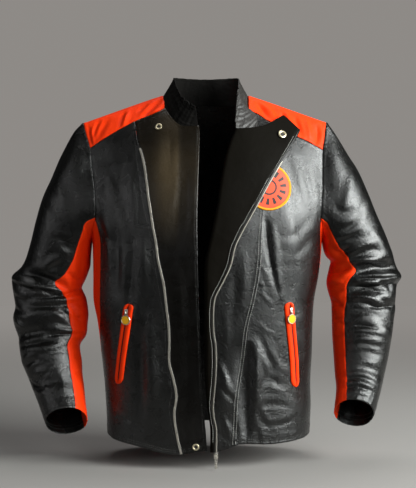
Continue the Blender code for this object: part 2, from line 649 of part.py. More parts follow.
def side_panel_top(side):
    """The bottom of the armhole, where the side panel ends."""
    start = abs(side_seam(side, "front")(ARMHOLE_CORNER))
    end = abs(side_seam(side, "back")(ARMHOLE_CORNER))

    def level(angle):
        share = (abs(angle) - (start + end) / 2) / (end - start) * 2
        return ARMPIT + (ARMHOLE_CORNER - ARMPIT) * min(1.0, abs(share)) ** 2.2

    return level


# ---------------------------------------------------------------- yokes
def over_shoulder(sign, lateral, root, out=0.0):
    """A point on the shoulder: root is positive in front of the ridge, negative behind."""

    def bare(lateral, root):
        angle = lateral if root >= 0 else 180 - lateral
        return bare_body(sign * angle, -root * root)

    across = bare(lateral + 0.3, root) - bare(lateral - 0.3, root)
    down = bare(lateral, root + 0.004) - bare(lateral, root - 0.004)
    normal = across.cross(down).normalized() * -sign
    if normal.z < 0:
        normal = -normal
    point = bare(lateral, root)
    return point + normal * (out + body_fold(point))


def yoke_edges(side, places):
    """Lateral angle and level of a yoke's front and back edge points, from the neck outwards."""
    sign, back = SIGNS[side], places["back"][-1]
    rows = LEFT_YOKE_SEAM if side == "left" else RIGHT_YOKE_SEAM
    neck = find_front(*rows[0])
    if side == "left":
        near, far = places["front_left_centre"][-1], places["front_left_side"][-1]
        back = back[LEFT_YOKE_COLUMNS::-1]
    else:
        near = places["front_right_flap"][-1][NECK_PEAK - 1 :: -1]
        far = places["front_right_side"][-1][::-1]
        back = back[-RIGHT_YOKE_COLUMNS - 1 :]
    front = [neck, *near, *far[1:]]
    return (
        [(sign * angle, level) for angle, level in front],
        [(abs(180 - abs(angle)), level) for angle, level in back],
    )


def yoke_places(side, places):
    """Places of a yoke's grid, from the neck outwards and from the front seam to the back."""
    edges = yoke_edges(side, places)
    grid = []
    for t in [i / YOKE_ROWS for i in range(-YOKE_ROWS, YOKE_ROWS + 1)]:
        line = []
        face, edge = ("front", edges[0]) if t <= 0 else ("back", edges[1])
        last = len(edge) - 1
        neck = NECK_LATERAL + (edge[0][0] - NECK_LATERAL) * abs(t)
        for i, (edge_lateral, level) in enumerate(edge):
            level = max(level, edge[0][1]) if i == 0 else level
            root = abs(t) * root_of(level + SEAM)
            whole = armhole_lateral(level, side, face) - edge[0][0]
            share = (1 - abs(t)) * i / last + abs(t) * (edge_lateral - edge[0][0]) / whole
            share = i / last if i in (0, last) else share
            lateral = neck + (armhole_lateral(-root * root, side, face) - neck) * share
            lateral += 0.04 if i == 0 else -0.04 if i == last else 0
            line.append((SIGNS[side], lateral, root if t <= 0 else -root))
        grid.append(line)
    return grid


# ---------------------------------------------------------------- sleeves
def armhole_loop(side, places):
    """The armhole's edge: the panels' own edge points, from the shoulder down the front."""
    yoke = [over_shoulder(*line[-1]) for line in places[f"yoke_{side}"]]
    outer, start = (-1, 0) if side == "left" else (0, -1)
    front = [body(*line[outer]) for line in places[f"front_{side}_side"]][ROWS_BELOW:]
    back = [body(*line[start]) for line in places["back"]][ROWS_BELOW:]
    under = [body(*place) for place in places[f"side_panel_{side}"][-1]]
    if side == "right":
        under.reverse()
    front.reverse()
    return [
        *yoke[YOKE_ROWS:0:-1],
        yoke[0].lerp(front[0], 0.5),
        *front[1:-1],
        front[-1].lerp(under[0], 0.5),
        *under[1:-1],
        under[-1].lerp(back[0], 0.5),
        *back[1:-1],
        back[-1].lerp(yoke[-1], 0.5),
        *yoke[-2:YOKE_ROWS:-1],
    ]


class Sleeve:
    """One sleeve's surface: station along it, angle round it (0 outer, 90 front, 180 inner)."""

    def __init__(self, side, loop):
        self.sign = SIGNS[side]
        self.rows = [
            dict(zip(SLEEVE_COLUMNS, row))
            for row in (LEFT_SLEEVE if side == "left" else RIGHT_SLEEVE)
        ]
        self.folds = [
            dict(zip(SLEEVE_FOLD_COLUMNS, row))
            for row in (LEFT_SLEEVE_FOLDS if side == "left" else RIGHT_SLEEVE_FOLDS)
        ]
        self.loop = loop
        self.low = [min(point[i] for point in loop) for i in range(3)]
        self.high = [max(point[i] for point in loop) for i in range(3)]
        self.middle = Vector([(low + high) / 2 for low, high in zip(self.low, self.high)])
        self.turns = [self.turn_of(point) for point in loop]

    def turn_of(self, point):
        """The angle at which a round section passes an armhole point."""
        aside = point - self.middle
        rise = 2 * aside.z / (self.high[2] - self.low[2])
        depth = 2 * aside.y / (self.high[1] - self.low[1])
        c, s = (signed_power(value, SLEEVE_POWER / 2) for value in (rise, -depth))
        return math.degrees(math.atan2(s, c)) % 360

    def armhole(self, angle):
        """The armhole's edge at an angle: 0 is the shoulder, 90 the front, 180 the armpit."""
        for i, start in enumerate(self.turns):
            j = (i + 1) % len(self.turns)
            span = (self.turns[j] - start) % 360
            share = ((angle - start) % 360) / span if 0 < span < 90 else 2
            if share <= 1:
                return self.loop[i].lerp(self.loop[j], share)
        return self.loop[0].copy()

    def ring(self, number, angle):
        if number <= 0:
            return self.armhole(angle) + Vector((self.sign * SEAM * 1.5, 0, 0))
        row = self.rows[min(number, len(self.rows) - 1)]
        outer = Vector((self.sign * row["outer_x"], 0, row["outer_z"]))
        inner = Vector((self.sign * row["inner_x"], 0, row["inner_z"]))
        half = (outer - inner) / 2
        up = Vector((-half.z * self.sign, 0, half.x * self.sign)).normalized()
        tilt = math.radians(row["tilt"])
        front = Vector((0, -math.cos(tilt), 0)) + up * math.sin(tilt)
        c, s = math.cos(math.radians(angle)), math.sin(math.radians(angle))
        depth = row["front"] if s >= 0 else row["back"]
        middle = (outer + inner) / 2 + Vector((0, row["mid_y"], 0))
        section = (
            middle
            + half * signed_power(c, 2 / SLEEVE_POWER)
            + front * depth * signed_power(s, 2 / SLEEVE_POWER)
        )
        if number >= len(SLEEVE_HEAD):
            return section
        edge = self.armhole(angle)
        down = (self.high[2] - edge.z) / (self.high[2] - self.low[2])
        head = outer.lerp(inner, down) + Vector((0, edge.y, 0))
        return section.lerp(head, SLEEVE_HEAD[number])

    def bare(self, station, angle):
        last = len(self.rows) - 1
        number = min(int(station), last - 1)
        share = station - number
        start, end = self.ring(number, angle), self.ring(number + 1, angle)
        before = self.ring(number - 1, angle) if number > 0 else start * 2 - end
        after = self.ring(number + 2, angle) if number + 2 <= last else end * 2 - start
        return hermite(before, start, end, after, share)

    def fold(self, station, angle):
        lift = 0.0
        for fold in self.folds:
            aside = (angle - fold["angle"] + 180) % 360 - 180
            reach = abs(aside) / fold["span"]
            along = (station - fold["station"] - fold["slant"] * aside) / fold["half"]
            if reach < 1:
                lift += fold["height"] * math.exp(-along * along) * math.cos(math.pi / 2 * reach)
        return lift * ease(station / 1.5)

    def normal(self, station, angle):
        last = len(self.rows) - 1
        first, second = max(0.0, station - 0.05), min(last, station + 0.05)
        along = self.bare(second, angle) - self.bare(first, angle)
        around = self.bare(station, angle + 1.0) - self.bare(station, angle - 1.0)
        return around.cross(along).normalized() * self.sign

    def at(self, station, angle, out=0.0):
        point = self.bare(station, angle)
        lift = out + self.fold(station, angle)
        normal = self.normal(station, angle)
        if station <= 0:  # the edge at the armhole is as thick towards the armhole's middle
            aside = point - self.middle
            normal = Vector((0, aside.y, aside.z)).normalized()
        return point + normal * lift


UNDER_FRONT = Line([(row[0], row[1]) for row in UNDER_SLEEVE])
UNDER_BACK = Line([(row[0], row[2]) for row in UNDER_SLEEVE])


def make_sleeve(side, places, leather, contrast):
    """The black upper sleeve and the contrast panel under it, sewn along two seams."""
    sleeve = Sleeve(side, armhole_loop(side, places))
    turns, under = sleeve.turns, YOKE_ROWS + ROWS_ABOVE
    corner = under + ARMPIT_COLUMNS
    upper_turns = [turn - 360 for turn in turns[corner:]] + turns[: under + 1]
    upper_turns = [turn - 360 if turn > 300 else turn for turn in upper_turns]
    halves = (
        ("sleeve", leather, upper_turns),
        ("under_sleeve", contrast, turns[under : corner + 1]),
    )
    gap = math.degrees(SEAM / 2 / 0.045)
    for name, paint, starts in halves:
        outer, inner = [], []
        last = len(starts) - 1
        for station in SLEEVE_STATIONS:
            front, back = UNDER_FRONT(station), UNDER_BACK(station)
            low, high = (back - 360, front) if name == "sleeve" else (front, back)
            angles = []
            for i, start in enumerate(starts):
                share = ease(station / 3)
                angle = (1 - share) * start + share * (low + (high - low) * i / last)
                angles.append(angle + (gap if i == 0 else -gap if i == last else 0))
            outer.append([sleeve.at(station, angle) for angle in angles])
            inner.append([sleeve.at(station, angle, -LEATHER) for angle in angles])
        make_wall(f"{name}_{side}", outer, inner, paint)


# ---------------------------------------------------------------- collar
def collar_rails():
    """Lower and upper edge points of the collar, from the right front round to the left."""
    lower, upper = [], []
    for row in COLLAR:
        station = dict(zip(COLLAR_COLUMNS, row))
        root, angle = root_of(station["level"]), station["angle"]
        if station["face"] == "front":
            foot = over_shoulder(math.copysign(1, angle), abs(angle), root)
        else:
            foot = over_shoulder(-math.copysign(1, angle), abs(angle), -root)
        lower.append(foot + Vector((0, 0, COLLAR_LIFT)))
        upper.append(Vector((station["top_x"], station["top_y"], station["top_z"])))
    return lower, upper


def make_collar(paint):
    lower, upper = collar_rails()
    last = len(lower) - 1
    heights = even(3)

    def bare(u, v):
        number = min(int(u), last - 1)
        share = u - number
        ends = []
        for rail in (lower, upper):
            before, after = rail[max(0, number - 1)], rail[min(last, number + 2)]
            ends.append(hermite(before, rail[number], rail[number + 1], after, share))
        rise = ends[1] - ends[0]
        return ends[0] + rise * (v + (1 - v) * 0.012)

    def at(u, v, deep):
        along = bare(min(last, u + 0.05), v) - bare(max(0, u - 0.05), v)
        rise = bare(u, 1.0) - bare(u, 0.0)
        inward = rise.cross(along).normalized()
        return bare(u, v) + inward * (SEAM + deep)

    steps = [i / 2 for i in range(2 * last + 1)]
    outer = [[at(u, v, 0.0) for u in steps] for v in heights]
    inner = [[at(u, v, DOUBLE_LEATHER) for u in steps] for v in heights]
    return make_wall("collar", outer, inner, paint)


# ---------------------------------------------------------------- lapel, zips and trims
def lapel_profile(u, width):
    """The lapel across: it leaves the front's edge, rolls back over it and runs to its edge."""
    radius = (LAPEL_ROLL + LEATHER / 2) / 2
    turn = 0.30
    if u < turn:
        bend = math.pi * u / turn
        return -SEAM - radius * math.sin(bend), -LEATHER / 2 + radius * (1 - math.cos(bend))
    share = (u - turn) / (1 - turn)
    return -SEAM + (width + SEAM) * share, LAPEL_ROLL + (LAPEL_EDGE - LAPEL_ROLL) * ease(share)


def make_lapel(paint):
    """The rolled-back edge of the left front: a facing that lies over it as far as the zip."""
    edge_levels = [find_front(*row)[1] for row in LEFT_EDGE]
    edge_levels = [edge_levels[i] for i in LAPEL_ROWS]
    edge_levels[0] = HEM_LINE(LAPEL_EDGE_LINE(-0.66))
    across = [0, 0.075, 0.15, 0.225, 0.3, 0.42, 0.56, 0.70, 0.85, 1.0]
    outer, inner = [], []
    for start_level, end_level in zip(ROLL_LEVELS, edge_levels):
        lines = ([], [])
        for u in across:
            flat = max(0.0, (u - 0.3) / 0.7)
            level = (1 - flat) * start_level + flat * end_level
            start, end = ROLL_LINE(start_level), LAPEL_EDGE_LINE(end_level)
            if end_level == edge_levels[-1]:
                level = LAPEL_TOP_LINE((1 - flat) * start + flat * end)
            degree = 1 / angle_step(start, level, 1.0)
            middle = (1 - flat) * start + flat * end
            width = max(0.003, (end - start) * degree)
            before = lapel_profile(max(0, u - 0.01), width)
            after = lapel_profile(min(1, u + 0.01), width)
            run = Vector((after[0] - before[0], after[1] - before[1])).normalized()
            side, height = lapel_profile(u, width)
            for line, half in zip(lines, (LEATHER / 2, -LEATHER / 2)):
                aside, lift = side - run.y * half, height + run.x * half
                aside -= (SEAM + width) * flat - SEAM
                line.append(body(middle + angle_step(middle, level, aside - SEAM), level, lift))
        outer.append(lines[0])
        inner.append(lines[1])
    return make_wall("lapel_left", outer, inner, paint)


def strip_along(ground, seam, levels, offsets, heights, floor):
    """Outer and inner points of a narrow strip that follows a seam on the body."""
    outer, inner = [], []
    for level in levels:
        angle = seam(level)
        degrees = [angle + angle_step(angle, level, offset) for offset in offsets]
        outer.append([ground.lift(a, level, floor + h) for a, h in zip(degrees, heights)])
        inner.append([ground.lift(a, level, floor) for a in degrees])
    return outer, inner


def levels_between(rows, start, end):
    """The rows of a seam from start to end, with one more between every two."""
    inside = [level for level in rows if start + 0.004 < level < end - 0.004]
    rows = [start, *inside, end]
    return [level for a, b in zip(rows, rows[1:]) for level in (a, (a + b) / 2)] + [end]


def make_front_zips(right_ground, left_ground, paint):
    offsets = (-ZIP_HALF, -ZIP_CHAIN_HALF, ZIP_CHAIN_HALF, ZIP_HALF)
    heights = (ZIP_HEIGHT * 0.4, ZIP_HEIGHT, ZIP_HEIGHT, ZIP_HEIGHT * 0.4)
    rows = [line[0][1] for line in PLACES["front_right_flap"]]
    levels = levels_between(rows, -0.672, find_front(-0.1205, -0.103)[1])
    strip = strip_along(right_ground, ZIP_LINE, levels, offsets, heights, SEAM)
    make_wall("front_zip_right", *strip, paint)
    start, end = LEFT_ZIP_END, find_front(0.144, -0.128)[1]
    levels = [start + (end - start) * v for v in even(30)]
    strip = strip_along(left_ground, LAPEL_EDGE_LINE, levels, offsets, heights, LEFT_ZIP_FLOOR)
    make_wall("front_zip_left", *strip, paint)


def make_patch(ground, paint):
    """A round leather patch: a square grid drawn out to a disc on the chest."""
    outer, inner = [], []
    for q in [2 * v - 1 for v in even(10)]:
        lines = ([], [])
        for p in [2 * u - 1 for u in even(10)]:
            x = PATCH_CENTRE[0] + PATCH_RADIUS * p * math.sqrt(1 - q * q / 2)
            z = PATCH_CENTRE[1] + PATCH_RADIUS * q * math.sqrt(1 - p * p / 2)
            place = find_front(x, z)
            lines[0].append(ground.lift(*place, PATCH_FLOOR + PATCH_THICKNESS))
            lines[1].append(ground.lift(*place, PATCH_FLOOR))
        outer.append(lines[0])
        inner.append(lines[1])
    return make_wall("chest_patch", outer, inner, paint)


def surface_frame(ground, angle, level, out):
    """A place on the leather with its across, outward and upward directions."""
    across = (body(angle + 0.5, level, out) - body(angle - 0.5, level, out)).normalized()
    up = (body(angle, level + 0.004, out) - body(angle, level - 0.004, out)).normalized()
    outward = across.cross(up).normalized()
    return ground.lift(angle, level, out), across, outward, outward.cross(across).normalized()


def place_mesh(bm, origin, across, outward, up):
    """Turns a mesh from its own axes (x across, -y outward, z up) onto the leather."""
    for vert in bm.verts:
        local = vert.co.copy()
        vert.co = origin + across * local.x - outward * local.y + up * local.z


def ring_mesh(bm, radius, wire, segments, sides):
    """A wire ring round the y axis, spun from a small circle."""
    circle = bmesh.ops.create_circle(bm, segments=sides, radius=wire)["verts"]
    bmesh.ops.translate(bm, verts=circle, vec=(radius, 0, 0))
    loop = {edge for vert in circle for edge in vert.link_edges}
    bmesh.ops.spin(
        bm, geom=[*circle, *loop], cent=(0, 0, 0), axis=(0, 1, 0), angle=math.tau,
        steps=segments, use_merge=True,
    )
    bmesh.ops.remove_doubles(bm, verts=bm.verts, dist=1e-6)


def make_snap(ground, name, x, z, paint):
    bm = bmesh.new()
    ring_mesh(bm, SNAP_RADIUS, SNAP_WIRE, 16, 6)
    for vert in bm.verts:
        vert.co.y *= 0.75
    place_mesh(bm, *surface_frame(ground, *find_front(x, z), SNAP_WIRE * 0.75 + 2 * SEAM))
    return make_object(name, bm, paint)


def box_mesh(bm, size, middle, bevel):
    verts = bmesh.ops.create_cube(bm, size=1.0)["verts"]
    bmesh.ops.scale(bm, verts=verts, vec=size)
    bmesh.ops.translate(bm, verts=verts, vec=middle)
    edges = list({edge for vert in verts for edge in vert.link_edges})
    bmesh.ops.bevel(
        bm, geom=edges, offset=bevel, segments=1, affect="EDGES", profile=0.5, material=-1
    )


def join_meshes(name, pieces, paint):
    """One solid of several closed meshes, by Boolean unions."""
    base = pieces[0]
    for other in pieces[1:]:
        union = base.modifiers.new("join", "BOOLEAN")
        union.operation, union.object, union.solver = "UNION", other, "EXACT"
    graph = bpy.context.evaluated_depsgraph_get()
    mesh = bpy.data.meshes.new_from_object(base.evaluated_get(graph))
    for item in pieces:
        bpy.data.objects.remove(item, do_unlink=True)
    bm = bmesh.new()
    bm.from_mesh(mesh)
    bpy.data.meshes.remove(mesh)
    return make_object(name, bm, paint)


def make_part(name, shape, frame, paint):
    """One closed shape, placed on the leather, for a Boolean union."""
    bm = bmesh.new()
    shape(bm)
    place_mesh(bm, *frame)
    return make_object(name, bm, paint)


def make_slider(name, frame, size, paint):
    """A zip slider: a bevelled body with a wire bail standing on its face."""

    def bail(bm):
        ring_mesh(bm, BAIL_RADIUS, BAIL_WIRE, 12, 6)
        for vert in bm.verts:
            vert.co = Vector((vert.co.y, -size[1] + vert.co.x, vert.co.z - BAIL_DROP))

    shell = make_part(
        "shell", lambda bm: box_mesh(bm, size, (0, -size[1] / 2, 0), 0.0006), frame, paint
    )
    return join_meshes(name, [shell, make_part("bail", bail, frame, paint)], paint)


def disc_outline():
    """A round grip with a neck that reaches up to the bar in the bail, x and z from the joint."""
    opening = math.asin(PULL_NECK / DISC_RADIUS)
    middle = SLOT_END - 0.0002 - DISC_RADIUS
    turns = [opening + (math.tau - 2 * opening) * i / 26 for i in range(27)]
    arc = [(DISC_RADIUS * math.sin(t), middle + DISC_RADIUS * math.cos(t)) for t in turns]
    return [(-PULL_NECK, PULL_BAR), (PULL_NECK, PULL_BAR), *arc]


def plate_outline():
    half, length = FRONT_PULL
    cut = 0.0010
    return [
        (-PULL_NECK, PULL_BAR), (PULL_NECK, PULL_BAR), (PULL_NECK, SLOT_END - cut),
        (half, SLOT_END - 2 * cut), (half, cut - length), (half - cut, -length),
        (cut - half, -length), (-half, cut - length), (-half, SLOT_END - 2 * cut),
        (-PULL_NECK, SLOT_END - cut),
    ]


def make_pull(name, frame, size, outline, paint):
    """A flat pull: the bar over its slot passes through the slider's bail and is its joint."""
    origin, across, outward, up = frame
    joint = origin + outward * (size[1] + (BAIL_RADIUS - BAIL_WIRE) / 2) - up * BAIL_DROP
    slot = [
        (-PULL_SLOT, -PULL_BAR), (PULL_SLOT, -PULL_BAR), (PULL_SLOT, SLOT_END), (-PULL_SLOT, SLOT_END)
    ]
    bm = bmesh.new()
    edges = []
    for loop in (outline, slot):
        verts = [bm.verts.new((x, PULL_THICKNESS / 2, z)) for x, z in loop]
        edges += [bm.edges.new((verts[i - 1], verts[i])) for i in range(len(verts))]
    bmesh.ops.triangle_fill(bm, edges=edges, use_beauty=True)
    raised = bmesh.ops.extrude_face_region(bm, geom=bm.faces[:])["geom"]
    raised = [item for item in raised if isinstance(item, bmesh.types.BMVert)]
    bmesh.ops.translate(bm, verts=raised, vec=(0, -PULL_THICKNESS, 0))
    place_mesh(bm, Vector(), across, outward, up)
    piece = make_object(name, bm, paint)
    piece.location = joint
    return piece


def make_pockets(grounds, welt_paint, tape_paint, metal, disc_paint):
    for side, (top, bottom) in POCKETS.items():
        ground = grounds[side]
        (a1, h1), (a2, h2) = find_front(*top), find_front(*bottom)
        seam = Line([(h2, a2), ((h1 + h2) / 2, (a1 + a2) / 2), (h1, a1)])
        levels = [h2 + (h1 - h2) * v for v in even(9)]
        for edge in (-1, 1):
            label = "outer" if edge == SIGNS[side] else "inner"
            middle = edge * WELT_OFFSET
            offsets = (middle - WELT_HALF, middle, middle + WELT_HALF)
            heights = (WELT_HEIGHT * 0.6, WELT_HEIGHT, WELT_HEIGHT * 0.6)
            strip = strip_along(ground, seam, levels, offsets, heights, SEAM)
            make_wall(f"pocket_{side}_welt_{label}", *strip, welt_paint)
        offsets = (-POCKET_ZIP_HALF, 0.0, POCKET_ZIP_HALF)
        heights = (POCKET_ZIP_HEIGHT * 0.7, POCKET_ZIP_HEIGHT, POCKET_ZIP_HEIGHT * 0.7)
        strip = strip_along(ground, seam, levels, offsets, heights, SEAM)
        make_wall(f"pocket_{side}_zip", *strip, tape_paint)
        level = h1 + (h2 - h1) * SLIDER_SHARE
        frame = surface_frame(ground, seam(level), level, POCKET_ZIP_HEIGHT + 5 * SEAM)
        make_slider(f"pocket_{side}_slider", frame, SLIDER_SIZE, metal)
        make_pull(f"pocket_{side}_pull", frame, SLIDER_SIZE, disc_outline(), disc_paint)


def make_front_slider(ground, metal):
    """The slider and flat pull that hang at the lower end of the left front's zip."""
    angle = LAPEL_EDGE_LINE(LEFT_ZIP_END)
    frame = surface_frame(ground, angle, LEFT_ZIP_END, LEFT_ZIP_FLOOR - 0.0006)
    origin, across, outward, up = frame
    size = FRONT_SLIDER_SIZE
    frame = (origin - up * (size[2] / 2 + SEAM), across, outward, up)
    make_slider("front_zip_slider", frame, size, metal)
    make_pull("front_zip_pull", frame, size, plate_outline(), metal)


# ---------------------------------------------------------------- the jacket
def left_edge(level):
    """The left front's inner edge: the roll, then a step in to the collar's end."""
    share = ease((level - LAPEL_CORNER) / (LAPEL_NOTCH - LAPEL_CORNER))
    return (1 - share) * ROLL_LINE(level) + share * LEFT_COLLAR_END


def back_top(angle):
    lateral = abs(180 - abs(angle))
    return BACK_NECK_LINE(lateral) if lateral < BACK_NECK else BACK_YOKE_LINE(lateral)


def all_places():
    """Places of every panel of the body, by name."""
    right_outer = side_levels("right", "front", YOKE_LINES["right"])
    left_outer = side_levels("left", "front", YOKE_LINES["left"])
    peak, level = find_front(*RIGHT_YOKE_SEAM[0])
    peak = (ZIP_LINE(level) - peak) / (ZIP_LINE(level) - EDGE_LINE(level))
    neck_columns = [peak * i / NECK_PEAK for i in range(NECK_PEAK)]
    neck_columns += [peak + (1 - peak) * share for share in (0, 0.18, 0.36, 0.54, 0.76, 1)]
    end = -0.04
    for _ in range(25):
        end = YOKE_LINES["left"](left_edge(end))
    inner = [*ROLL_LEVELS, LAPEL_NOTCH, end]
    right_back, left_back = side_seam("right", "back"), side_seam("left", "back")
    level = BACK_NECK_LEVEL[-1][1]
    start, end = left_back(level), 360 + right_back(level)
    necks = [(180 - BACK_NECK - start) / (end - start), (180 + BACK_NECK - start) / (end - start)]
    back_columns = [necks[0] * i / LEFT_YOKE_COLUMNS for i in range(LEFT_YOKE_COLUMNS)]
    back_columns += [necks[0], (necks[0] + necks[1]) / 2]
    back_columns += [
        necks[1] + (1 - necks[1]) * i / RIGHT_YOKE_COLUMNS for i in range(RIGHT_YOKE_COLUMNS + 1)
    ]
    places = {
        "front_right_side": panel_places(
            side_seam("right", "front"), ZIP_LINE, HEM_LINE, YOKE_LINES["right"],
            even(SIDE_COLUMNS_COUNT),
            right_outer,
        ),
        "front_right_flap": panel_places(
            ZIP_LINE, EDGE_LINE, HEM_LINE, YOKE_LINES["right"], neck_columns
        ),
        "front_left_side": panel_places(
            LEFT_SEAM_LINE, side_seam("left", "front"), HEM_LINE, YOKE_LINES["left"],
            even(SIDE_COLUMNS_COUNT), None, left_outer,
        ),
        "front_left_centre": panel_places(
            left_edge, LEFT_SEAM_LINE, HEM_LINE, YOKE_LINES["left"], even(CENTRE_COLUMNS), inner
        ),
        "back": panel_places(
            left_back, lambda level: 360 + right_back(level),
            lambda angle: HEM_LINE(angle - 360 if angle > 180 else angle), back_top, back_columns,
            side_levels("left", "back", back_top), side_levels("right", "back", back_top),
        ),
    }
    for side in SIGNS:
        faces = ("front", "back") if side == "left" else ("back", "front")
        rows = [side_levels(side, face, back_top)[: ROWS_BELOW + 1] for face in faces]
        places[f"side_panel_{side}"] = panel_places(
            *(side_seam(side, face) for face in faces), HEM_LINE, side_panel_top(side),
            even(ARMPIT_COLUMNS), *rows,
        )
        places[f"yoke_{side}"] = yoke_places(side, places)
    return places


def make_jacket():
    leather = leather_paint("black_leather", BLACK, 0.42)
    contrast = leather_paint("orange_leather", ORANGE, 0.48)
    zipper = leather_paint("zip_chain", STEEL, 0.35, 0.8)
    tape = leather_paint("zip_tape", BLACK, 0.7)
    metal = leather_paint("slider_metal", STEEL, 0.30, 1.0)
    brass = leather_paint("brass", BRASS, 0.32, 1.0)
    yellow = leather_paint("yellow_enamel", YELLOW, 0.35)

    panels = {}
    for name, places in PLACES.items():
        paint = contrast if "yoke" in name or "side_panel" in name else leather
        point = over_shoulder if "yoke" in name else body
        panels[name] = make_wall(name, *make_points(places, point), paint)
    for side in SIGNS:
        make_sleeve(side, PLACES, leather, contrast)
    make_collar(leather)
    lapel = make_lapel(leather)

    right_front = Ground(panels["front_right_side"], panels["front_right_flap"])
    left_front = Ground(panels["front_left_side"], panels["front_left_centre"])
    make_patch(left_front, contrast)
    make_front_zips(right_front, left_front, zipper)
    make_pockets(
        {"right": right_front, "left": left_front}, contrast, tape, metal, yellow
    )
    make_front_slider(left_front, metal)
    for name, (x, z) in SNAPS.items():
        make_snap(right_front, f"snap_{name}", x, z, brass)
    make_snap(Ground(lapel), "snap_lapel", *LAPEL_SNAP, brass)


clear_scene()
JACKET = bpy.data.collections.new("motorcycle_jacket")
bpy.context.scene.collection.children.link(JACKET)
PLACES = all_places()
make_jacket()
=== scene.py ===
import math

import bmesh
import bpy
import numpy as np
from mathutils import Matrix, Vector


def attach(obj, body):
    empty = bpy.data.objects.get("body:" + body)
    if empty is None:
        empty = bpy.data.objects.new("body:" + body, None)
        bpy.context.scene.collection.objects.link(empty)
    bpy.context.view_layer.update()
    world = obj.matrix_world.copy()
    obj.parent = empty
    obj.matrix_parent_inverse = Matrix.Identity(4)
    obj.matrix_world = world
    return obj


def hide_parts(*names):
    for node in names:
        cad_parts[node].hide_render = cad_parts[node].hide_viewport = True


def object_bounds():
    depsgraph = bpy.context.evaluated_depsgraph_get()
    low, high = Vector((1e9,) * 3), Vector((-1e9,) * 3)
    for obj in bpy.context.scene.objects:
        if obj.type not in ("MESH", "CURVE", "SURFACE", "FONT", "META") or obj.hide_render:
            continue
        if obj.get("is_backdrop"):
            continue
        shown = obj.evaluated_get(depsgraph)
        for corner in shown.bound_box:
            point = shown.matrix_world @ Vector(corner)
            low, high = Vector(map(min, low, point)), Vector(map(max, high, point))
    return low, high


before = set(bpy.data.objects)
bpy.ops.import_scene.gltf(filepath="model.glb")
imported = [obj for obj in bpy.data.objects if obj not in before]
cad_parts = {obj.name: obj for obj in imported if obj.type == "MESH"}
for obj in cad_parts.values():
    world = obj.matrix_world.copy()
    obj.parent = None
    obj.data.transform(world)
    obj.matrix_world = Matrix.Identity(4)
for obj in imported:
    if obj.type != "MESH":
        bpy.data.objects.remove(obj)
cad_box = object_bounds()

# ---------------------------------------------------------------- fronts, back and side panels
# The body is cut from 1.5 mm cowhide: two side panels and two centre panels in front, one back,
# and an orange panel under each arm. The seams are stitched, glued open and pressed flat, and
# the worn jacket keeps the form of the body that fills it, so the panels are points of one form.
LEATHER, SEAM = 0.0015, 0.00008
SHOULDER_FALL, NECK_HALF, NAPE_RISE, RIDGE_ROUND = 0.356, 0.078, 0.030, 0.015


def metres(rows, lengths=99):
    """Rows of millimetres in metres; what stands after the first columns is no length."""
    return [(*(value / 1000 for value in row[:lengths]), *row[lengths:]) for row in rows]


BODY_COLUMNS = ("level", "right", "left", "front", "back", "power")
BODY = metres((  # rings from the shoulder ridge down: half widths, depths and squareness
    (0, 245, 245, 0, 0, 2.4), (-10, 245, 245, 18, 18, 2.4), (-20, 245, 245, 28, 30, 2.4),
    (-40, 245, 245, 47, 50, 2.4), (-60, 245, 245, 62, 66, 2.4), (-90, 244, 244, 80, 84, 2.4),
    (-130, 243, 243, 100, 100, 2.4), (-180, 240, 241, 118, 112, 2.4), (-240, 228, 231, 130, 116, 2.42),
    (-276, 218.5, 224.5, 134, 115, 2.45), (-310, 216.5, 221.5, 136, 113, 2.5),
    (-350, 216, 216.5, 136, 108, 2.55), (-395, 215.5, 209, 135, 103, 2.6), (-435, 208, 206.5, 134, 100, 2.65),
    (-500, 200, 205, 131, 100, 2.7), (-550, 195, 202.5, 130, 103, 2.7), (-600, 192, 203.5, 129, 107, 2.7),
    (-650, 190, 201, 128, 110, 2.7), (-690, 190, 200, 128, 111, 2.7),
), 5)
# Seams and edges as seen from the front, x across and z up.
RIGHT_ZIP_SEAM = metres((
    (-134, -52), (-127, -90), (-116, -125), (-109, -167), (-103, -209), (-95, -257), (-88, -304), (-77, -355),
    (-69, -421), (-67, -458), (-67, -501), (-60, -529), (-54, -563), (-58, -598), (-52, -642), (-45, -673),
))
RIGHT_EDGE = metres((
    (-13, -56), (-11, -73), (-12, -125), (-14, -187), (-15, -251), (-14, -314), (-12, -382), (-9, -453),
    (-5, -555), (-2, -598), (3, -666),
))
LEFT_ROLL = metres((
    (62.5, -71), (51, -97), (47, -110), (42.5, -125), (34, -167), (27.5, -209), (19, -251), (12.5, -282),
    (7, -308), (6, -386), (6, -465), (6.5, -517), (9, -570), (12.5, -598), (15.5, -623), (15.5, -664),
))
LEFT_EDGE = metres((
    (177.5, -73), (170, -86), (158, -103), (144, -125), (116, -170), (90, -216), (64, -262), (54, -284),
    (45.5, -318.5), (33, -346), (18.5, -374), (14.5, -395), (14.5, -438), (18.5, -468), (18.5, -522),
    (15, -561), (13.5, -582.5), (15, -602), (19.5, -624), (19.5, -669),
))
LEFT_SEAM = metres((
    (122, -54), (117, -106), (109, -180), (105, -220), (100, -304), (88, -383), (75, -436.5), (69.5, -490),
    (63, -533), (57, -576), (55, -626), (53, -653),
))
RIGHT_YOKE_SEAM = metres((
    (-77, -27), (-88, -33), (-105, -40), (-134, -52), (-162, -67), (-191, -84), (-219.5, -103),
))
LEFT_YOKE_SEAM = metres((
    (82, -32), (97, -37), (111, -46), (127, -56), (152.5, -70), (177, -82), (200, -93), (223.5, -106.5),
))
RIGHT_NECK_SEAM = metres((
    (-13.5, -60), (-29, -61), (-44, -60), (-52, -56), (-62.5, -46.5), (-72, -34), (-77, -27),
))
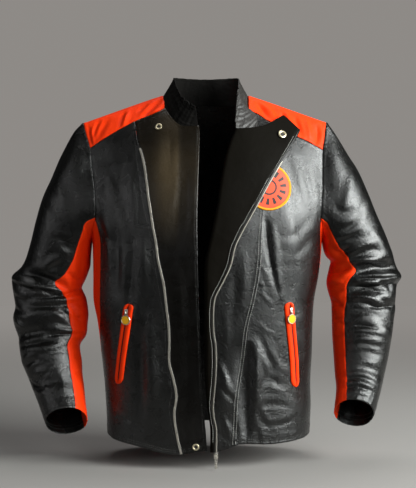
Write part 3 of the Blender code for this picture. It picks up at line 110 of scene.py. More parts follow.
RIGHT_TOPSTITCH = metres((  # the side panel's edge is folded under and stitched along this line
    (-133.7, -52), (-132.5, -92), (-125, -146), (-117.5, -197), (-112.6, -220), (-94.3, -315), (-77.5, -411),
    (-73.3, -490), (-62.8, -555), (-67.5, -588), (-53.1, -665),
))
ARMHOLE_COLUMNS = ("level", "right_front", "left_front", "right_back", "left_back")
ARMHOLE = metres((  # how far out the armhole's edges lie
    (0, 234.5, 231.6, 234.5, 231.6), (-10, 232, 230.5, 231, 229.5), (-30, 226.5, 227.5, 223, 223),
    (-55, 219.2, 223.6, 215, 216.5), (-95, 215, 222.6, 208, 210.5), (-145, 209.5, 222, 202, 206.5),
    (-195, 207.5, 220, 199, 204), (-222, 208, 218.5, 199, 203), (-245, 209, 217, 200, 203),
))
ARMHOLE_CORNER, ARMPIT = -0.222, -0.276
NECK_LATERAL, BACK_NECK, LEFT_COLLAR_END = 15.6, 11.5, 19.2
LAPEL_CORNER, LAPEL_NOTCH = -0.0710, -0.0635
ROLL_LEVELS = (
    -0.667, -0.624, -0.5825, -0.522, -0.468, -0.438, -0.395, -0.374, -0.346, -0.312, -0.278,
    -0.244, -0.208, -0.172, -0.137, -0.103, LAPEL_CORNER,
)
BACK_YOKE = ((11.5, -0.032), (25.0, -0.056), (42.0, -0.070), (75.0, -0.080))
BACK_NECK_LEVEL = ((0.0, -0.050), (6.0, -0.045), (11.5, -0.032))
SIDE_COLUMNS = ("level", "right_front", "right_back", "left_front", "left_back")
SIDE_PANEL = metres((  # level, and body angles of the side panels' seams
    (-222, 60.5, 124.5, 67.0, 123.0), (-250, 61.5, 121.0, 70.0, 122.0), (-290, 63.0, 117.5, 78.0, 120.0),
    (-350, 64.0, 116.0, 86.0, 119.0), (-410, 66.0, 115.0, 90.0, 118.0), (-450, 76.0, 115.0, 91.0, 118.0),
    (-520, 86.0, 115.0, 92.0, 117.0), (-600, 89.0, 115.0, 92.0, 117.0), (-660, 90.0, 115.0, 92.0, 117.0),
), 1)
HEM = (
    (-180.0, -0.652), (-135.0, -0.652), (-90.0, -0.650), (-60.0, -0.655), (-35.0, -0.661),
    (-11.0, -0.674), (0.0, -0.667), (3.0, -0.667), (8.0, -0.660), (13.0, -0.654),
    (30.0, -0.656), (60.0, -0.653), (90.0, -0.650), (135.0, -0.652), (180.0, -0.652),
)
# The deepest folds by face, in mm: x and z of both ends, half width, height.
BODY_FOLDS = {
    "front": (
        (70, -480, 76, -630, 11, -8), (94, -470, 92, -600, 16, 5), (112, -235, 130, -345, 8, -3.5),
        (124, -250, 136, -350, 7, 3), (150, -215, 160, -320, 26, 6), (150, -120, 185, -230, 20, -4),
        (40, -520, 34, -590, 16, 5), (-133, -130, -148, -350, 12, 4.5), (-156, -140, -165, -370, 9, -4),
        (-178, -140, -178, -320, 13, 4), (-136, -300, -142, -400, 8, -3), (-116, -260, -128, -440, 11, 4.5),
        (-103, -420, -100, -600, 16, 4.5), (-124, -440, -120, -620, 12, -4), (-45, -100, -60, -300, 18, -4),
    ),
    "back": (
        (-150, -240, -60, -330, 20, -5), (150, -240, 60, -330, 20, -5), (-140, -430, 140, -450, 22, -5),
        (-110, -380, 120, -395, 18, 4),
    ),
}
# Smaller creases, soft troughs (height below 0) and ridges, by face, in mm: x and z of the
# start, the middle and the end, half width and height; and how strongly, as a share of that
# height, the leather banks up on its left.
BODY_CREASES = {
    "front": (
        (113, -240, 119, -300, 136, -372, 3.6, -4.2, 0.25),
        (120.5, -262, 125, -310, 143, -386, 3.2, 2.6, 0.0), (104, -318, 109, -328, 115, -338, 2.2, 1.1, 0.5),
        (102, -366, 113, -380, 124, -392, 2.4, 1.2, 0.5), (100, -345, 107, -360, 112, -380, 2.4, 1, 0.5),
        (78, -470, 83, -545, 76, -640, 6, -5.5, 0.3), (96, -462, 94, -520, 88, -600, 5.5, 3.4, 0.0),
        (100, -470, 112, -505, 124, -528, 4.5, 2.2, 0.4), (106, -540, 120, -520, 128, -495, 4, -1.6, 0.4),
        (86, -560, 100, -600, 120, -626, 4.8, -2.2, 0.4), (92, -625, 100, -645, 96, -662, 4, -2, 0.5),
        (195, -235, 165, -262, 140, -262, 7.5, -0.9, 0.5), (205, -262, 180, -292, 158, -300, 7, -0.8, 0.5),
        (150, -225, 160, -245, 156, -275, 8, 1.2, 0.0), (160, -110, 176, -160, 190, -215, 8, 1.2, 0.3),
        (178, -125, 195, -170, 203, -225, 5.5, -1.4, 0.4), (100, -425, 112, -440, 126, -446, 3.5, 0.8, 0.4),
        (96, -448, 108, -470, 118, -500, 5, -1, 0.4), (120, -470, 133, -500, 150, -520, 5.5, 1.1, 0.3),
        (112, -505, 124, -530, 140, -545, 5, -1.1, 0.4), (118, -545, 134, -553, 150, -560, 5.5, 1, 0.4),
        (100, -585, 128, -580, 160, -590, 6, -1.3, 0.4), (105, -615, 140, -620, 175, -608, 5, -1.1, 0.4),
        (26, -500, 34, -520, 42, -548, 5, 2.4, 0.3), (28, -545, 40, -558, 54, -572, 4.5, -2.4, 0.4),
        (32, -600, 40, -618, 46, -636, 4.5, 2, 0.4), (52, -590, 54, -618, 60, -640, 4.5, -1.8, 0.4),
        (24, -632, 34, -640, 48, -650, 3.5, -1, 0.5), (50, -320, 54, -370, 45, -430, 9, -1.2, 0.3),
        (36, -400, 40, -450, 34, -505, 8, 1.2, 0.0), (68, -290, 72, -340, 64, -400, 8, 1.2, 0.3),
        (176, -440, 182, -520, 178, -600, 8, -1.4, 0.3), (145, -400, 133, -430, 118, -470, 6, -1, 0.4),
        (160, -300, 164, -340, 158, -385, 7.5, -1, 0.3), (-140, -150, -133, -200, -128, -262, 6.5, 1.4, 0.4),
        (-150, -190, -143, -250, -130, -320, 6, -1.3, 0.4), (-172, -170, -165, -215, -150, -270, 8, 1.4, 0.3),
        (-200, -235, -188, -262, -172, -280, 6, -1.4, 0.4), (-190, -105, -180, -140, -160, -180, 8, -1, 0.3),
        (-114, -270, -110, -320, -112, -385, 8, 1.3, 0.3),
        (-126, -300, -122, -345, -130, -390, 6.5, -1.2, 0.3),
        (-101, -410, -104, -480, -98, -560, 9, 1.4, 0.0),
        (-122, -430, -118, -520, -126, -600, 8.5, -1.2, 0.3),
        (-182, -560, -165, -590, -140, -605, 6, -1.1, 0.4),
        (-175, -620, -150, -612, -120, -622, 5.5, -1.1, 0.4),
        (-180, -430, -176, -480, -182, -540, 8, 1.2, 0.3), (-66, -82, -68, -110, -74, -150, 7, -1.8, 0.4),
        (-78, -80, -82, -105, -80, -135, 5, 1.2, 0.0), (-52, -120, -56, -170, -64, -235, 9, 1.4, 0.3),
        (-36, -140, -34, -200, -40, -280, 7, -1, 0.3), (-50, -330, -46, -400, -50, -470, 8, 1, 0.3),
        (-35, -480, -33, -540, -38, -610, 8, -0.9, 0.3), (-43, -615, -37, -632, -30, -645, 4, -1.2, 0.5),
    ),
    "back": (
        (-185, -130, -150, -190, -120, -260, 9, -2, 0.4), (185, -135, 155, -185, 118, -240, 8.5, -1.8, 0.4),
        (-195, -215, -150, -262, -95, -285, 8, -2.2, 0.5), (192, -205, 148, -250, 100, -278, 8, -2, 0.5),
        (-180, -300, -120, -345, -60, -372, 9, -2.2, 0.4), (178, -310, 130, -340, 66, -360, 8.5, -2, 0.4),
        (-165, -405, -70, -412, 20, -405, 7.5, -2, 0.5), (170, -425, 90, -422, -10, -432, 8, -2.2, 0.5),
        (-130, -465, -60, -478, 30, -470, 7, -1.6, 0.4), (140, -480, 80, -492, 25, -488, 7.5, -1.5, 0.4),
        (-100, -520, -85, -570, -96, -630, 10, 1.6, 0.3), (90, -530, 102, -580, 94, -635, 9.5, 1.5, 0.3),
        (-30, -150, -22, -210, -34, -280, 10, 1.2, 0.3), (45, -160, 38, -220, 50, -290, 10, -1.2, 0.3),
    ),
}


def glide(start, end, rise, fall, share):
    """From start to end on a smooth curve that has these slopes at its ends."""
    a, b = share * share, share**3
    return start * (2 * b - 3 * a + 1) + rise * (b - 2 * a + share) + end * (3 * a - 2 * b) + fall * (b - a)


class Line:
    """A smooth curve through rows of (where, value), level past both ends."""

    def __init__(self, rows):
        self.where, self.value = np.array(sorted(rows), float).T
        first = np.maximum(np.arange(len(rows)) - 1, 0)
        last = np.minimum(np.arange(len(rows)) + 1, len(rows) - 1)
        self.slope = (self.value[last] - self.value[first]) / (self.where[last] - self.where[first])

    def __call__(self, where):
        where = np.clip(np.asarray(where, float), self.where[0], self.where[-1])
        i = np.clip(np.searchsorted(self.where, where, side="right") - 1, 0, len(self.where) - 2)
        width = self.where[i + 1] - self.where[i]
        rise, fall = width * self.slope[i], width * self.slope[i + 1]
        return glide(self.value[i], self.value[i + 1], rise, fall, (where - self.where[i]) / width)


def columns_of(table, names, change=lambda value: value):
    return {name: Line([(change(row[0]), row[i]) for row in table]) for i, name in enumerate(names) if i}


def ease(share):
    share = np.clip(share, 0.0, 1.0)
    return share * share * (3 - 2 * share)


def bell(distance, width):
    return np.exp(-((distance / width) ** 2))


def bend(value, power):
    return np.sign(value) * np.abs(value) ** power


def root_of(level):
    return np.sqrt(np.maximum(0.0, -np.asarray(level, float)))


def unit(vectors):
    return vectors / np.maximum(1e-12, np.linalg.norm(vectors, axis=-1, keepdims=True))


BODY_LINES = columns_of(BODY, BODY_COLUMNS, root_of)


def shoulder_drop(x, level):
    over = np.abs(x) - NECK_HALF
    over = (over + np.hypot(over, RIDGE_ROUND)) / 2
    return ease((level + 0.30) / 0.24) * SHOULDER_FALL * over


def nape(x, y, level):
    rise = NAPE_RISE * bell(x, 0.080) * ease(y / 0.055) * ease((level + 0.22) / 0.16)
    return np.where(y <= 0, 0.0, rise)


def bare_body(angle, level):
    """The smooth form: angle 0 is the middle of the front, 90 the wearer's left."""
    size = {name: line(root_of(level)) for name, line in BODY_LINES.items()}
    across, along = np.sin(np.radians(angle)), np.cos(np.radians(angle))
    x = np.where(across >= 0, size["left"], size["right"]) * bend(across, 2 / size["power"])
    y = -np.where(along >= 0, size["front"], size["back"]) * bend(along, 2 / size["power"])
    return np.stack([x, y, level - shoulder_drop(x, level) + nape(x, y, level)], axis=-1)


def find_front(x, z, face="front"):
    """Angle and level of the point seen at x and z."""
    x, z = np.asarray(x, float), np.asarray(z, float)
    level = z
    for _ in range(30):
        size = {name: line(root_of(level)) for name, line in BODY_LINES.items()}
        share = np.minimum(1.0, np.abs(x) / np.where(x >= 0, size["left"], size["right"]))
        angle = np.copysign(np.degrees(np.arcsin(share ** (size["power"] / 2))), x)
        if face == "back":
            angle = np.copysign(180 - np.abs(angle), x)
        point = bare_body(angle, level)
        level = z + shoulder_drop(x, level) - nape(x, point[..., 1], level)
    return angle, level


FOLD_ENDS = [
    (bare_body(*find_front(x1, z1, face)), bare_body(*find_front(x2, z2, face)), half, height)
    for face, rows in BODY_FOLDS.items()
    for x1, z1, x2, z2, half, height in metres(rows)
]


def fold_lift(point):
    lift = np.zeros(point.shape[:-1])
    for start, end, half, height in FOLD_ENDS:
        run = end - start
        share = np.clip((point - start) @ run / (run @ run), 0.0, 1.0)
        aside = np.linalg.norm(point - start - run * share[..., None], axis=-1)
        lift += height * bell(aside, half) * np.sin(math.pi * (0.12 + 0.76 * share))
    return lift


CREASE_STEPS, CREASE_REACH = 8, 3.2  # straight runs in a crease, and half widths that it reaches


def crease_lift(point, normal, creases):
    """How far creases, drawn as seen from the front or the back, lift the leather."""
    lift, seen = np.zeros(point.shape[:-1]), point[..., [0, 2]]
    t = np.linspace(0, 1, CREASE_STEPS + 1)[:, None]
    for face, rows in creases.items():
        towards = (normal[..., 1] < 0.1) if face == "front" else (normal[..., 1] > -0.1)
        for *drawn, half, height, bank in metres(rows, 8):
            start, middle, end = np.reshape(drawn, (3, 2))
            control = 2 * middle - (start + end) / 2
            path = (1 - t) ** 2 * start + 2 * t * (1 - t) * control + t**2 * end
            low, high = path.min(axis=0) - CREASE_REACH * half, path.max(axis=0) + CREASE_REACH * half
            near = towards & np.all((seen > low) & (seen < high), axis=-1)
            if not near.any():
                continue
            spots = seen[near]
            best, place, side = np.full(len(spots), 1e9), np.zeros(len(spots)), np.zeros(len(spots))
            for i in range(CREASE_STEPS):
                run = path[i + 1] - path[i]
                share = np.clip((spots - path[i]) @ run / (run @ run), 0.0, 1.0)
                aside = spots - path[i] - share[:, None] * run
                distance = np.linalg.norm(aside, axis=1)
                nearer = distance < best
                best = np.where(nearer, distance, best)
                place = np.where(nearer, (i + share) / CREASE_STEPS, place)
                side = np.where(nearer, np.sign(run[0] * aside[:, 1] - run[1] * aside[:, 0]), side)
            profile = np.exp(-((best / half) ** 1.7)) - bank * bell(best * side - 1.9 * half, 1.1 * half)
            facing = ease(np.abs(normal[near][:, 1]) * 2.5)
            lift[near] += height * profile * facing * np.sin(math.pi * (0.06 + 0.88 * place)) ** 0.8
    return lift


def body(angle, level, out=0.0):
    """A point of the leather's outer side with its folds, moved out by a distance."""
    angle, level = np.broadcast_arrays(np.asarray(angle, float), np.asarray(level, float))
    point = bare_body(angle, level)
    across = bare_body(angle + 0.35, level) - bare_body(angle - 0.35, level)
    up = bare_body(angle, level + 0.002) - bare_body(angle, level - 0.002)
    normal = unit(np.cross(across, up))
    lift = out + fold_lift(point) + crease_lift(point, normal, BODY_CREASES)
    return point + normal * lift[..., None]


def angle_step(angle, level, distance):
    """How many degrees round the body a distance is."""
    return distance / np.linalg.norm(
        bare_body(angle + 0.5, level) - bare_body(angle - 0.5, level), axis=-1
    )


def seam_places(rows):
    return find_front(*np.array(rows).T)


def front_seam(rows):
    return Line(list(zip(*seam_places(rows)[::-1])))


def cross_seam(rows):
    return Line(list(zip(*seam_places(rows))))


HEM_LINE = Line(HEM)
ARMHOLE_LINES = columns_of(ARMHOLE, ARMHOLE_COLUMNS, root_of)
SIDE_LINES = columns_of(SIDE_PANEL, SIDE_COLUMNS)
BACK_YOKE_LINE, BACK_NECK_LINE = Line(BACK_YOKE), Line(BACK_NECK_LEVEL)
ZIP_LINE, EDGE_LINE = front_seam(RIGHT_ZIP_SEAM), front_seam(RIGHT_EDGE)
ROLL_LINE, LAPEL_EDGE_LINE = front_seam(LEFT_ROLL), front_seam(LEFT_EDGE)
LEFT_SEAM_LINE, TOPSTITCH_LINE = front_seam(LEFT_SEAM), front_seam(RIGHT_TOPSTITCH)
YOKE_LINES = {
    "right": cross_seam(RIGHT_NECK_SEAM + RIGHT_YOKE_SEAM[1:]),
    "left": cross_seam(LEFT_YOKE_SEAM),
}
SIGNS = {"right": -1, "left": 1}


def armhole_lateral(level, side, face):
    root = root_of(level)
    share = np.minimum(1.0, ARMHOLE_LINES[f"{side}_{face}"](root) / BODY_LINES[side](root))
    return np.degrees(np.arcsin(share ** (BODY_LINES["power"](root) / 2)))


def side_seam(side, face):
    seam = SIDE_LINES[f"{side}_{face}"]

    def angle(level):
        lateral = armhole_lateral(np.maximum(level, -0.245), side, face)
        edge = lateral if face == "front" else 180 - lateral
        share = ease((level - ARMHOLE_CORNER + 0.02) / 0.02)
        return SIGNS[side] * ((1 - share) * seam(level) + share * edge)

    return angle


def side_panel_top(side):
    start = abs(side_seam(side, "front")(ARMHOLE_CORNER))
    end = abs(side_seam(side, "back")(ARMHOLE_CORNER))

    def level(angle):
        share = (np.abs(angle) - (start + end) / 2) / (end - start) * 2
        return ARMPIT + (ARMHOLE_CORNER - ARMPIT) * np.minimum(1.0, np.abs(share)) ** 2.2

    return level


def left_edge(level):
    share = ease((level - LAPEL_CORNER) / (LAPEL_NOTCH - LAPEL_CORNER))
    return (1 - share) * ROLL_LINE(level) + share * LEFT_COLLAR_END


def back_top(angle):
    lateral = np.abs(180 - np.abs(angle))
    return np.where(lateral < BACK_NECK, BACK_NECK_LINE(lateral), BACK_YOKE_LINE(lateral))


GRID_STEP = 0.0030
SEAM_STEPS = (0.0007, 0.0015, 0.0024, 0.0035, 0.0048, 0.0063, 0.0082, 0.0106)  # rows beside a seam


def spread(length, step=GRID_STEP):
    """Shares of a length: close together beside the seams at its ends, even between."""
    inmost = SEAM_STEPS[-1]
    count = max(2, round((length - 2 * inmost) / step))
    inside = np.linspace(inmost, length - inmost, count + 1)
    ends = np.array([0.0, *SEAM_STEPS[:-1]])
    return np.concatenate([ends, inside, length - ends[::-1]]) / length


def panel_places(left, right, bottom, top, across, rows, left_levels=None):
    """Body angle and level of a panel's grid, half a seam in from its edges."""
    u = np.asarray(across)[None, :]
    start = np.asarray(rows)[:, None] * np.ones_like(u)
    if left_levels is not None:
        low, high = bottom(left(left_levels)), top(left(left_levels))
        start = (1 - u) * ((left_levels - low) / (high - low))[:, None] + u * start
    level = (1 - start) * -0.60 + start * -0.10
    for _ in range(25):
        angle = (1 - u) * left(level) + u * right(level)
        level = (1 - start) * bottom(angle) + start * top(angle)
    if left_levels is not None:
        level[:, 0] = left_levels
        angle[:, 0] = left(left_levels)
    angle[:, 0] += angle_step(angle[:, 0], level[:, 0], SEAM / 2)
    angle[:, -1] -= angle_step(angle[:, -1], level[:, -1], SEAM / 2)
    level[0] += SEAM / 2
    level[-1] -= SEAM / 2
    return angle, level


def reach(points, axis):
    """Distances along a grid from its first and to its last row or column."""
    steps = np.linalg.norm(np.diff(points, axis=axis), axis=-1)
    pad = [(0, 0), (0, 0)]
    pad[axis] = (1, 0)
    run = np.pad(np.cumsum(steps, axis=axis), pad)
    total = run.take([-1], axis=axis)
    return run, total - run


def ripple(along, seed):
    """Uneven puckers along a stitched line."""
    return (
        np.sin(along * 640 + seed * 2.1) * 0.55
        + np.sin(along * 413 + seed * 5.3) * 0.45
        + np.sin(along * 171 + seed * 0.7) * 0.5
    )


# How each side of a piece is finished: its grooves, as (distance in, width, depth); how high its
# allowance lies under the leather, how far in and over what length it ends; and how high its
# puckers stand and how far in they die out.
FINISHES = {
    # stitched, opened and glued flat, so that the allowance lies under the leather for 6 mm
    "seam": (((0.0, 0.0009, 0.0007),), (0.00035, 0.0050, 0.0018), (0.00022, 0.009)),
    # the same with a row of stitching each side, 2.7 mm out, that pulls the leather down
    "double": (((0.0, 0.0006, 0.0005), (0.0027, 0.0007, 0.0006)), (0.0007, 0.0030, 0.0026), (0.00030, 0.009)),
    # turned under, and stitched 4.5 mm in
    "edge": (((0.0, 0.0008, 0.0007), (0.0045, 0.0009, 0.0004)), (0.0003, 0.006, 0.003), (0.00028, 0.009)),
    # turned up 20 mm, with two rows of stitching
    "hem": (((0.0, 0.0009, 0.0008), (0.0052, 0.0010, 0.0004), (0.0088, 0.0010, 0.0004)),
            (0.0004, 0.019, 0.004), (0.00045, 0.022)),
    "none": ((), (0.0, 0.0, 1.0), (0.0, 1.0)),
}


def edge_relief(bare, kinds, seed):
    """Height of a piece's leather near its four sides: left, right, bottom, top."""
    left, right = reach(bare, 1)
    low, high = reach(bare, 0)
    lift = np.zeros(left.shape)
    for away, along, kind in zip((left, right, low, high), (low, low, left, left), kinds):
        grooves, (allowance, inside, fade), (pucker, depth) = FINISHES[kind]
        lift += allowance * (1 - ease((away - inside) / fade))
        lift += pucker * ripple(along, seed) * np.exp(-away / depth)
        lift -= sum(deep * bell(away - place, width) for place, width, deep in grooves)
        seed += 1.7
    return lift


def mesh_of(bm, name, *paints):
    mesh = bpy.data.meshes.new(name)
    bm.to_mesh(mesh)
    bm.free()
    for paint in paints:
        mesh.materials.append(paint)
    return mesh


def linked(name, data):
    thing = bpy.data.objects.new(name, data)
    bpy.context.scene.collection.objects.link(thing)
    return thing


def leather_sheet(name, points, paint, thickness=LEATHER, offset=-1.0, flip=False, fields=()):
    """A leather piece: a bmesh grid laid on these points, with its thickness inwards."""
    rows, columns = points.shape[0] - 1, points.shape[1] - 1
    bm = bmesh.new()
    bm.loops.layers.uv.new("cut")
    bmesh.ops.create_grid(bm, x_segments=columns, y_segments=rows, size=0.5, calc_uvs=True)
    if flip:
        bmesh.ops.reverse_faces(bm, faces=bm.faces)
    mesh = mesh_of(bm, name, paint)
    flat = np.empty(len(mesh.vertices) * 3)
    mesh.vertices.foreach_get("co", flat)
    column, row, _ = np.rint((flat.reshape(-1, 3) + 0.5) * (columns, rows, 1)).astype(int).T
    mesh.vertices.foreach_set("co", points[row, column].reshape(-1))
    for field, values in fields:
        mesh.attributes.new(field, "FLOAT", "POINT").data.foreach_set("value", values[row, column])
    mesh.update()
    mesh.shade_smooth()
    piece = linked(name, mesh)
    wall = piece.modifiers.new("thickness", "SOLIDIFY")
    wall.thickness, wall.offset, wall.use_even_offset = thickness, offset, False
    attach(piece, "jacket")
    return piece


def nodes_of(name):
    paint = bpy.data.materials.new(name)
    paint.use_nodes = True
    return paint, paint.node_tree, paint.node_tree.nodes["Principled BSDF"]


def put(tree, node, sockets):
    """Sets a node's sockets to values, or links other sockets to them."""
    for key, value in sockets.items():
        if isinstance(value, bpy.types.NodeSocket):
            tree.links.new(value, node.inputs[key])
        else:
            node.inputs[key].default_value = value


def add_node(tree, kind, sockets=None, **settings):
    node = tree.nodes.new(kind)
    for key, value in settings.items():
        setattr(node, key, value)
    put(tree, node, sockets or {})
    return node


def place_in(tree):
    return add_node(tree, "ShaderNodeTexCoord").outputs["Object"]


def attribute(tree, name):
    return add_node(tree, "ShaderNodeAttribute", attribute_name=name).outputs["Fac"]


def noise(tree, scale, detail=2.0, rough=0.5, distort=0.0):
    sockets = {"Scale": scale, "Detail": detail, "Roughness": rough, "Distortion": distort}
    return add_node(tree, "ShaderNodeTexNoise", {"Vector": place_in(tree), **sockets}).outputs["Fac"]


def bumped(tree, height, distance, under=None):
    sockets = {"Height": height, "Distance": distance}
    if under is not None:
        sockets["Normal"] = under
    return add_node(tree, "ShaderNodeBump", sockets).outputs["Normal"]


def ranged(tree, value, start, end, low, high, curve="LINEAR"):
    """A value between start and end carried to one between low and high."""
    sockets = {"Value": value, "From Min": start, "From Max": end, "To Min": low, "To Max": high}
    return add_node(tree, "ShaderNodeMapRange", sockets, interpolation_type=curve).outputs["Result"]


def mixed(tree, share, first, second):
    """The colour between two, each an RGB colour or a socket."""
    sockets = {"Factor": share}
    for key, colour in (("A", first), ("B", second)):
        sockets[key] = (*colour, 1.0) if isinstance(colour, tuple) else colour
    return add_node(tree, "ShaderNodeMix", sockets, data_type="RGBA").outputs["Result"]


def grey_ramp(tree, value, *stops):
    ramp = add_node(tree, "ShaderNodeValToRGB", {"Fac": value})
    for element, (where, grey) in zip(ramp.color_ramp.elements, stops):
        element.position, element.color = where, (grey, grey, grey, 1.0)
    return ramp.outputs["Color"]


def leather_material(name, dark, base, worn, rough, gleam, grain, pebble, mottle, crumple):
    """Milled hide: fine pores, a pebbled grain, soft crumpling, and paler wear on raised spots."""
    paint, tree, shader = nodes_of(name)
    cells = add_node(tree, "ShaderNodeTexVoronoi",
                     {"Vector": place_in(tree), "Scale": 950.0, "Randomness": 1.0},
                     feature="DISTANCE_TO_EDGE")
    net = grey_ramp(tree, cells.outputs["Distance"], (0.0, 0.0), (0.22, 1.0))
    pores, blotchy = noise(tree, 1500.0), noise(tree, 120.0, distort=0.2)
    milled, soft = noise(tree, 260.0, 3.0, 0.6, 0.2), noise(tree, 40.0, 2.0, 0.45, 0.3)
    normal = None
    for height, distance in (
        (soft, crumple), (blotchy, mottle), (milled, pebble), (net, grain), (pores, grain * 0.5),
    ):
        normal = bumped(tree, height, distance, normal)
    tint = mixed(tree, noise(tree, 14.0), dark, base)
    spots = grey_ramp(tree, milled, (0.60, 0.0), (0.78, 0.55))
    put(tree, shader, {
        "Normal": normal, "Base Color": mixed(tree, spots, tint, worn), "Specular IOR Level": gleam,
        "Roughness": ranged(tree, soft, 0.3, 0.7, rough - 0.03, rough + 0.05),
    })
    return paint


def toned(paint, share, colour):
    """Mixes a colour over a finished material's own."""
    tree, shader = paint.node_tree, paint.node_tree.nodes["Principled BSDF"]
    old = shader.inputs["Base Color"].links[0].from_socket
    put(tree, shader, {"Base Color": mixed(tree, share, old, colour)})


BLACK_LEATHER = leather_material(
    "black_leather_finish", (0.0014, 0.0014, 0.0012), (0.0028, 0.0028, 0.0025), (0.006, 0.006, 0.0055), 0.27,
    gleam=0.55, grain=0.00006, pebble=0.00085, mottle=0.00030, crumple=0.0006,
)
FLAP_LEATHER = leather_material(
    "flap_leather_finish", (0.0012, 0.0010, 0.0008), (0.0026, 0.0021, 0.0016), (0.005, 0.004, 0.003), 0.28,
    gleam=0.30, grain=0.00004, pebble=0.00030, mottle=0.00030, crumple=0.0008,
)
flap_tree = FLAP_LEATHER.node_tree
flap_place = add_node(flap_tree, "ShaderNodeSeparateXYZ", {"Vector": place_in(flap_tree)}).outputs
painted_sheen = 1.0  # painted sheen: brown painted on the flap's middle below the collar, where light from above would gleam, fading out towards both of its sides
for axis, start, end, low, high in (
    ("Z", -0.30, -0.13, 0.0, 1.0), ("Z", -0.135, -0.075, 1.0, 0.35),
    ("X", -0.108, -0.070, 0.25, 1.0), ("X", -0.056, -0.044, 1.0, 0.3),
):
    shade = ranged(flap_tree, flap_place[axis], start, end, low, high, "SMOOTHSTEP")
    painted_sheen = add_node(flap_tree, "ShaderNodeMath", {0: shade, 1: painted_sheen}, operation="MULTIPLY").outputs[0]
# the flap's painted sheen: a brown tone mixed into its black where light from above would catch it
toned(FLAP_LEATHER, painted_sheen, (0.040, 0.029, 0.016))
ORANGE_LEATHER = leather_material(
    "orange_leather_finish", (0.74, 0.030, 0.002), (0.86, 0.042, 0.003), (0.88, 0.062, 0.010), 0.50,
    gleam=0.10, grain=0.00002, pebble=0.00014, mottle=0.00030, crumple=0.0012,
)

right_side, left_side = side_seam("right", "front"), side_seam("left", "front")
right_back, left_back = side_seam("right", "back"), side_seam("left", "back")
UPRIGHT = spread(0.62)
peak_angle, peak_level = find_front(*RIGHT_YOKE_SEAM[0])
peak = float((ZIP_LINE(peak_level) - peak_angle) / (ZIP_LINE(peak_level) - EDGE_LINE(peak_level)))
before_peak = spread(0.085)[:11]
FLAP_ACROSS = np.concatenate([before_peak[:10] / before_peak[10] * peak, peak + (1 - peak) * spread(0.06)])
end = -0.04
for _ in range(25):
    end = YOKE_LINES["left"](left_edge(end))
roll = np.array([*ROLL_LEVELS, LAPEL_NOTCH, end])
roll = np.interp(np.linspace(0, len(roll) - 1, 199), np.arange(len(roll)), roll)
neck_level = BACK_NECK_LEVEL[-1][1]
neck_start, neck_end = (
    float((180 + turn - left_back(neck_level)) / (360 + right_back(neck_level) - left_back(neck_level)))
    for turn in (-BACK_NECK, BACK_NECK)
)
BACK_ACROSS = np.unique(np.concatenate([
    spread(0.17)[:-1] * neck_start, np.linspace(neck_start, neck_end, 36),
    neck_end + (1 - neck_end) * spread(0.17)[1:]]))

PANELS = {  # places on the form, and how each side is finished: left, right, bottom, top
    "front_right_side": (
        panel_places(right_side, ZIP_LINE, HEM_LINE, YOKE_LINES["right"], spread(0.15), UPRIGHT),
        ("seam", "seam", "hem", "seam"), BLACK_LEATHER, (0.18, 0.64, 0.091)),
    "front_right_flap": (
        panel_places(ZIP_LINE, EDGE_LINE, HEM_LINE, YOKE_LINES["right"], FLAP_ACROSS, UPRIGHT),
        ("seam", "edge", "hem", "seam"), FLAP_LEATHER, (0.12, 0.65, 0.049)),
    "front_left_side": (
        panel_places(LEFT_SEAM_LINE, left_side, HEM_LINE, YOKE_LINES["left"], spread(0.16), UPRIGHT),
        ("double", "seam", "hem", "seam"), BLACK_LEATHER, (0.22, 0.62, 0.105)),
    "front_left_centre": (
        panel_places(left_edge, LEFT_SEAM_LINE, HEM_LINE, YOKE_LINES["left"], spread(0.072),
                     np.linspace(0, 1, 199), roll),
        ("none", "double", "hem", "seam"), BLACK_LEATHER, (0.11, 0.64, 0.043)),
    "back": (
        panel_places(left_back, lambda level: 360 + right_back(level),
                     lambda angle: HEM_LINE(np.where(angle > 180, angle - 360, angle)), back_top,
                     BACK_ACROSS, UPRIGHT),
        ("seam", "seam", "hem", "seam"), BLACK_LEATHER, (0.44, 0.64, 0.250)),
}
for side, faces, cut in (
    ("right", ("back", "front"), (0.13, 0.43, 0.039)), ("left", ("front", "back"), (0.10, 0.43, 0.027)),
):
    PANELS[f"side_panel_{side}"] = (
        panel_places(*(side_seam(side, face) for face in faces), HEM_LINE, side_panel_top(side),
                     spread(0.11), spread(0.40)),
        ("seam", "seam", "hem", "seam"), ORANGE_LEATHER, cut)

seed = 0.0
for name, ((angle, level), kinds, paint, (width, length, area)) in PANELS.items():
    lift = edge_relief(bare_body(angle, level), kinds, seed)
    seed += 3.1
    if name == "front_right_side":  # the folded edge beside the zip stands up from its stitching
        inside = (angle - TOPSTITCH_LINE(level)) / angle_step(angle, level, 1.0)
        lift += 0.0009 * ease((inside + 0.0004) / 0.0022) - 0.0007 * bell(inside, 0.0013)
    piece = leather_sheet(f"{name}_leather", body(angle, level, lift), paint)
    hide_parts(name)

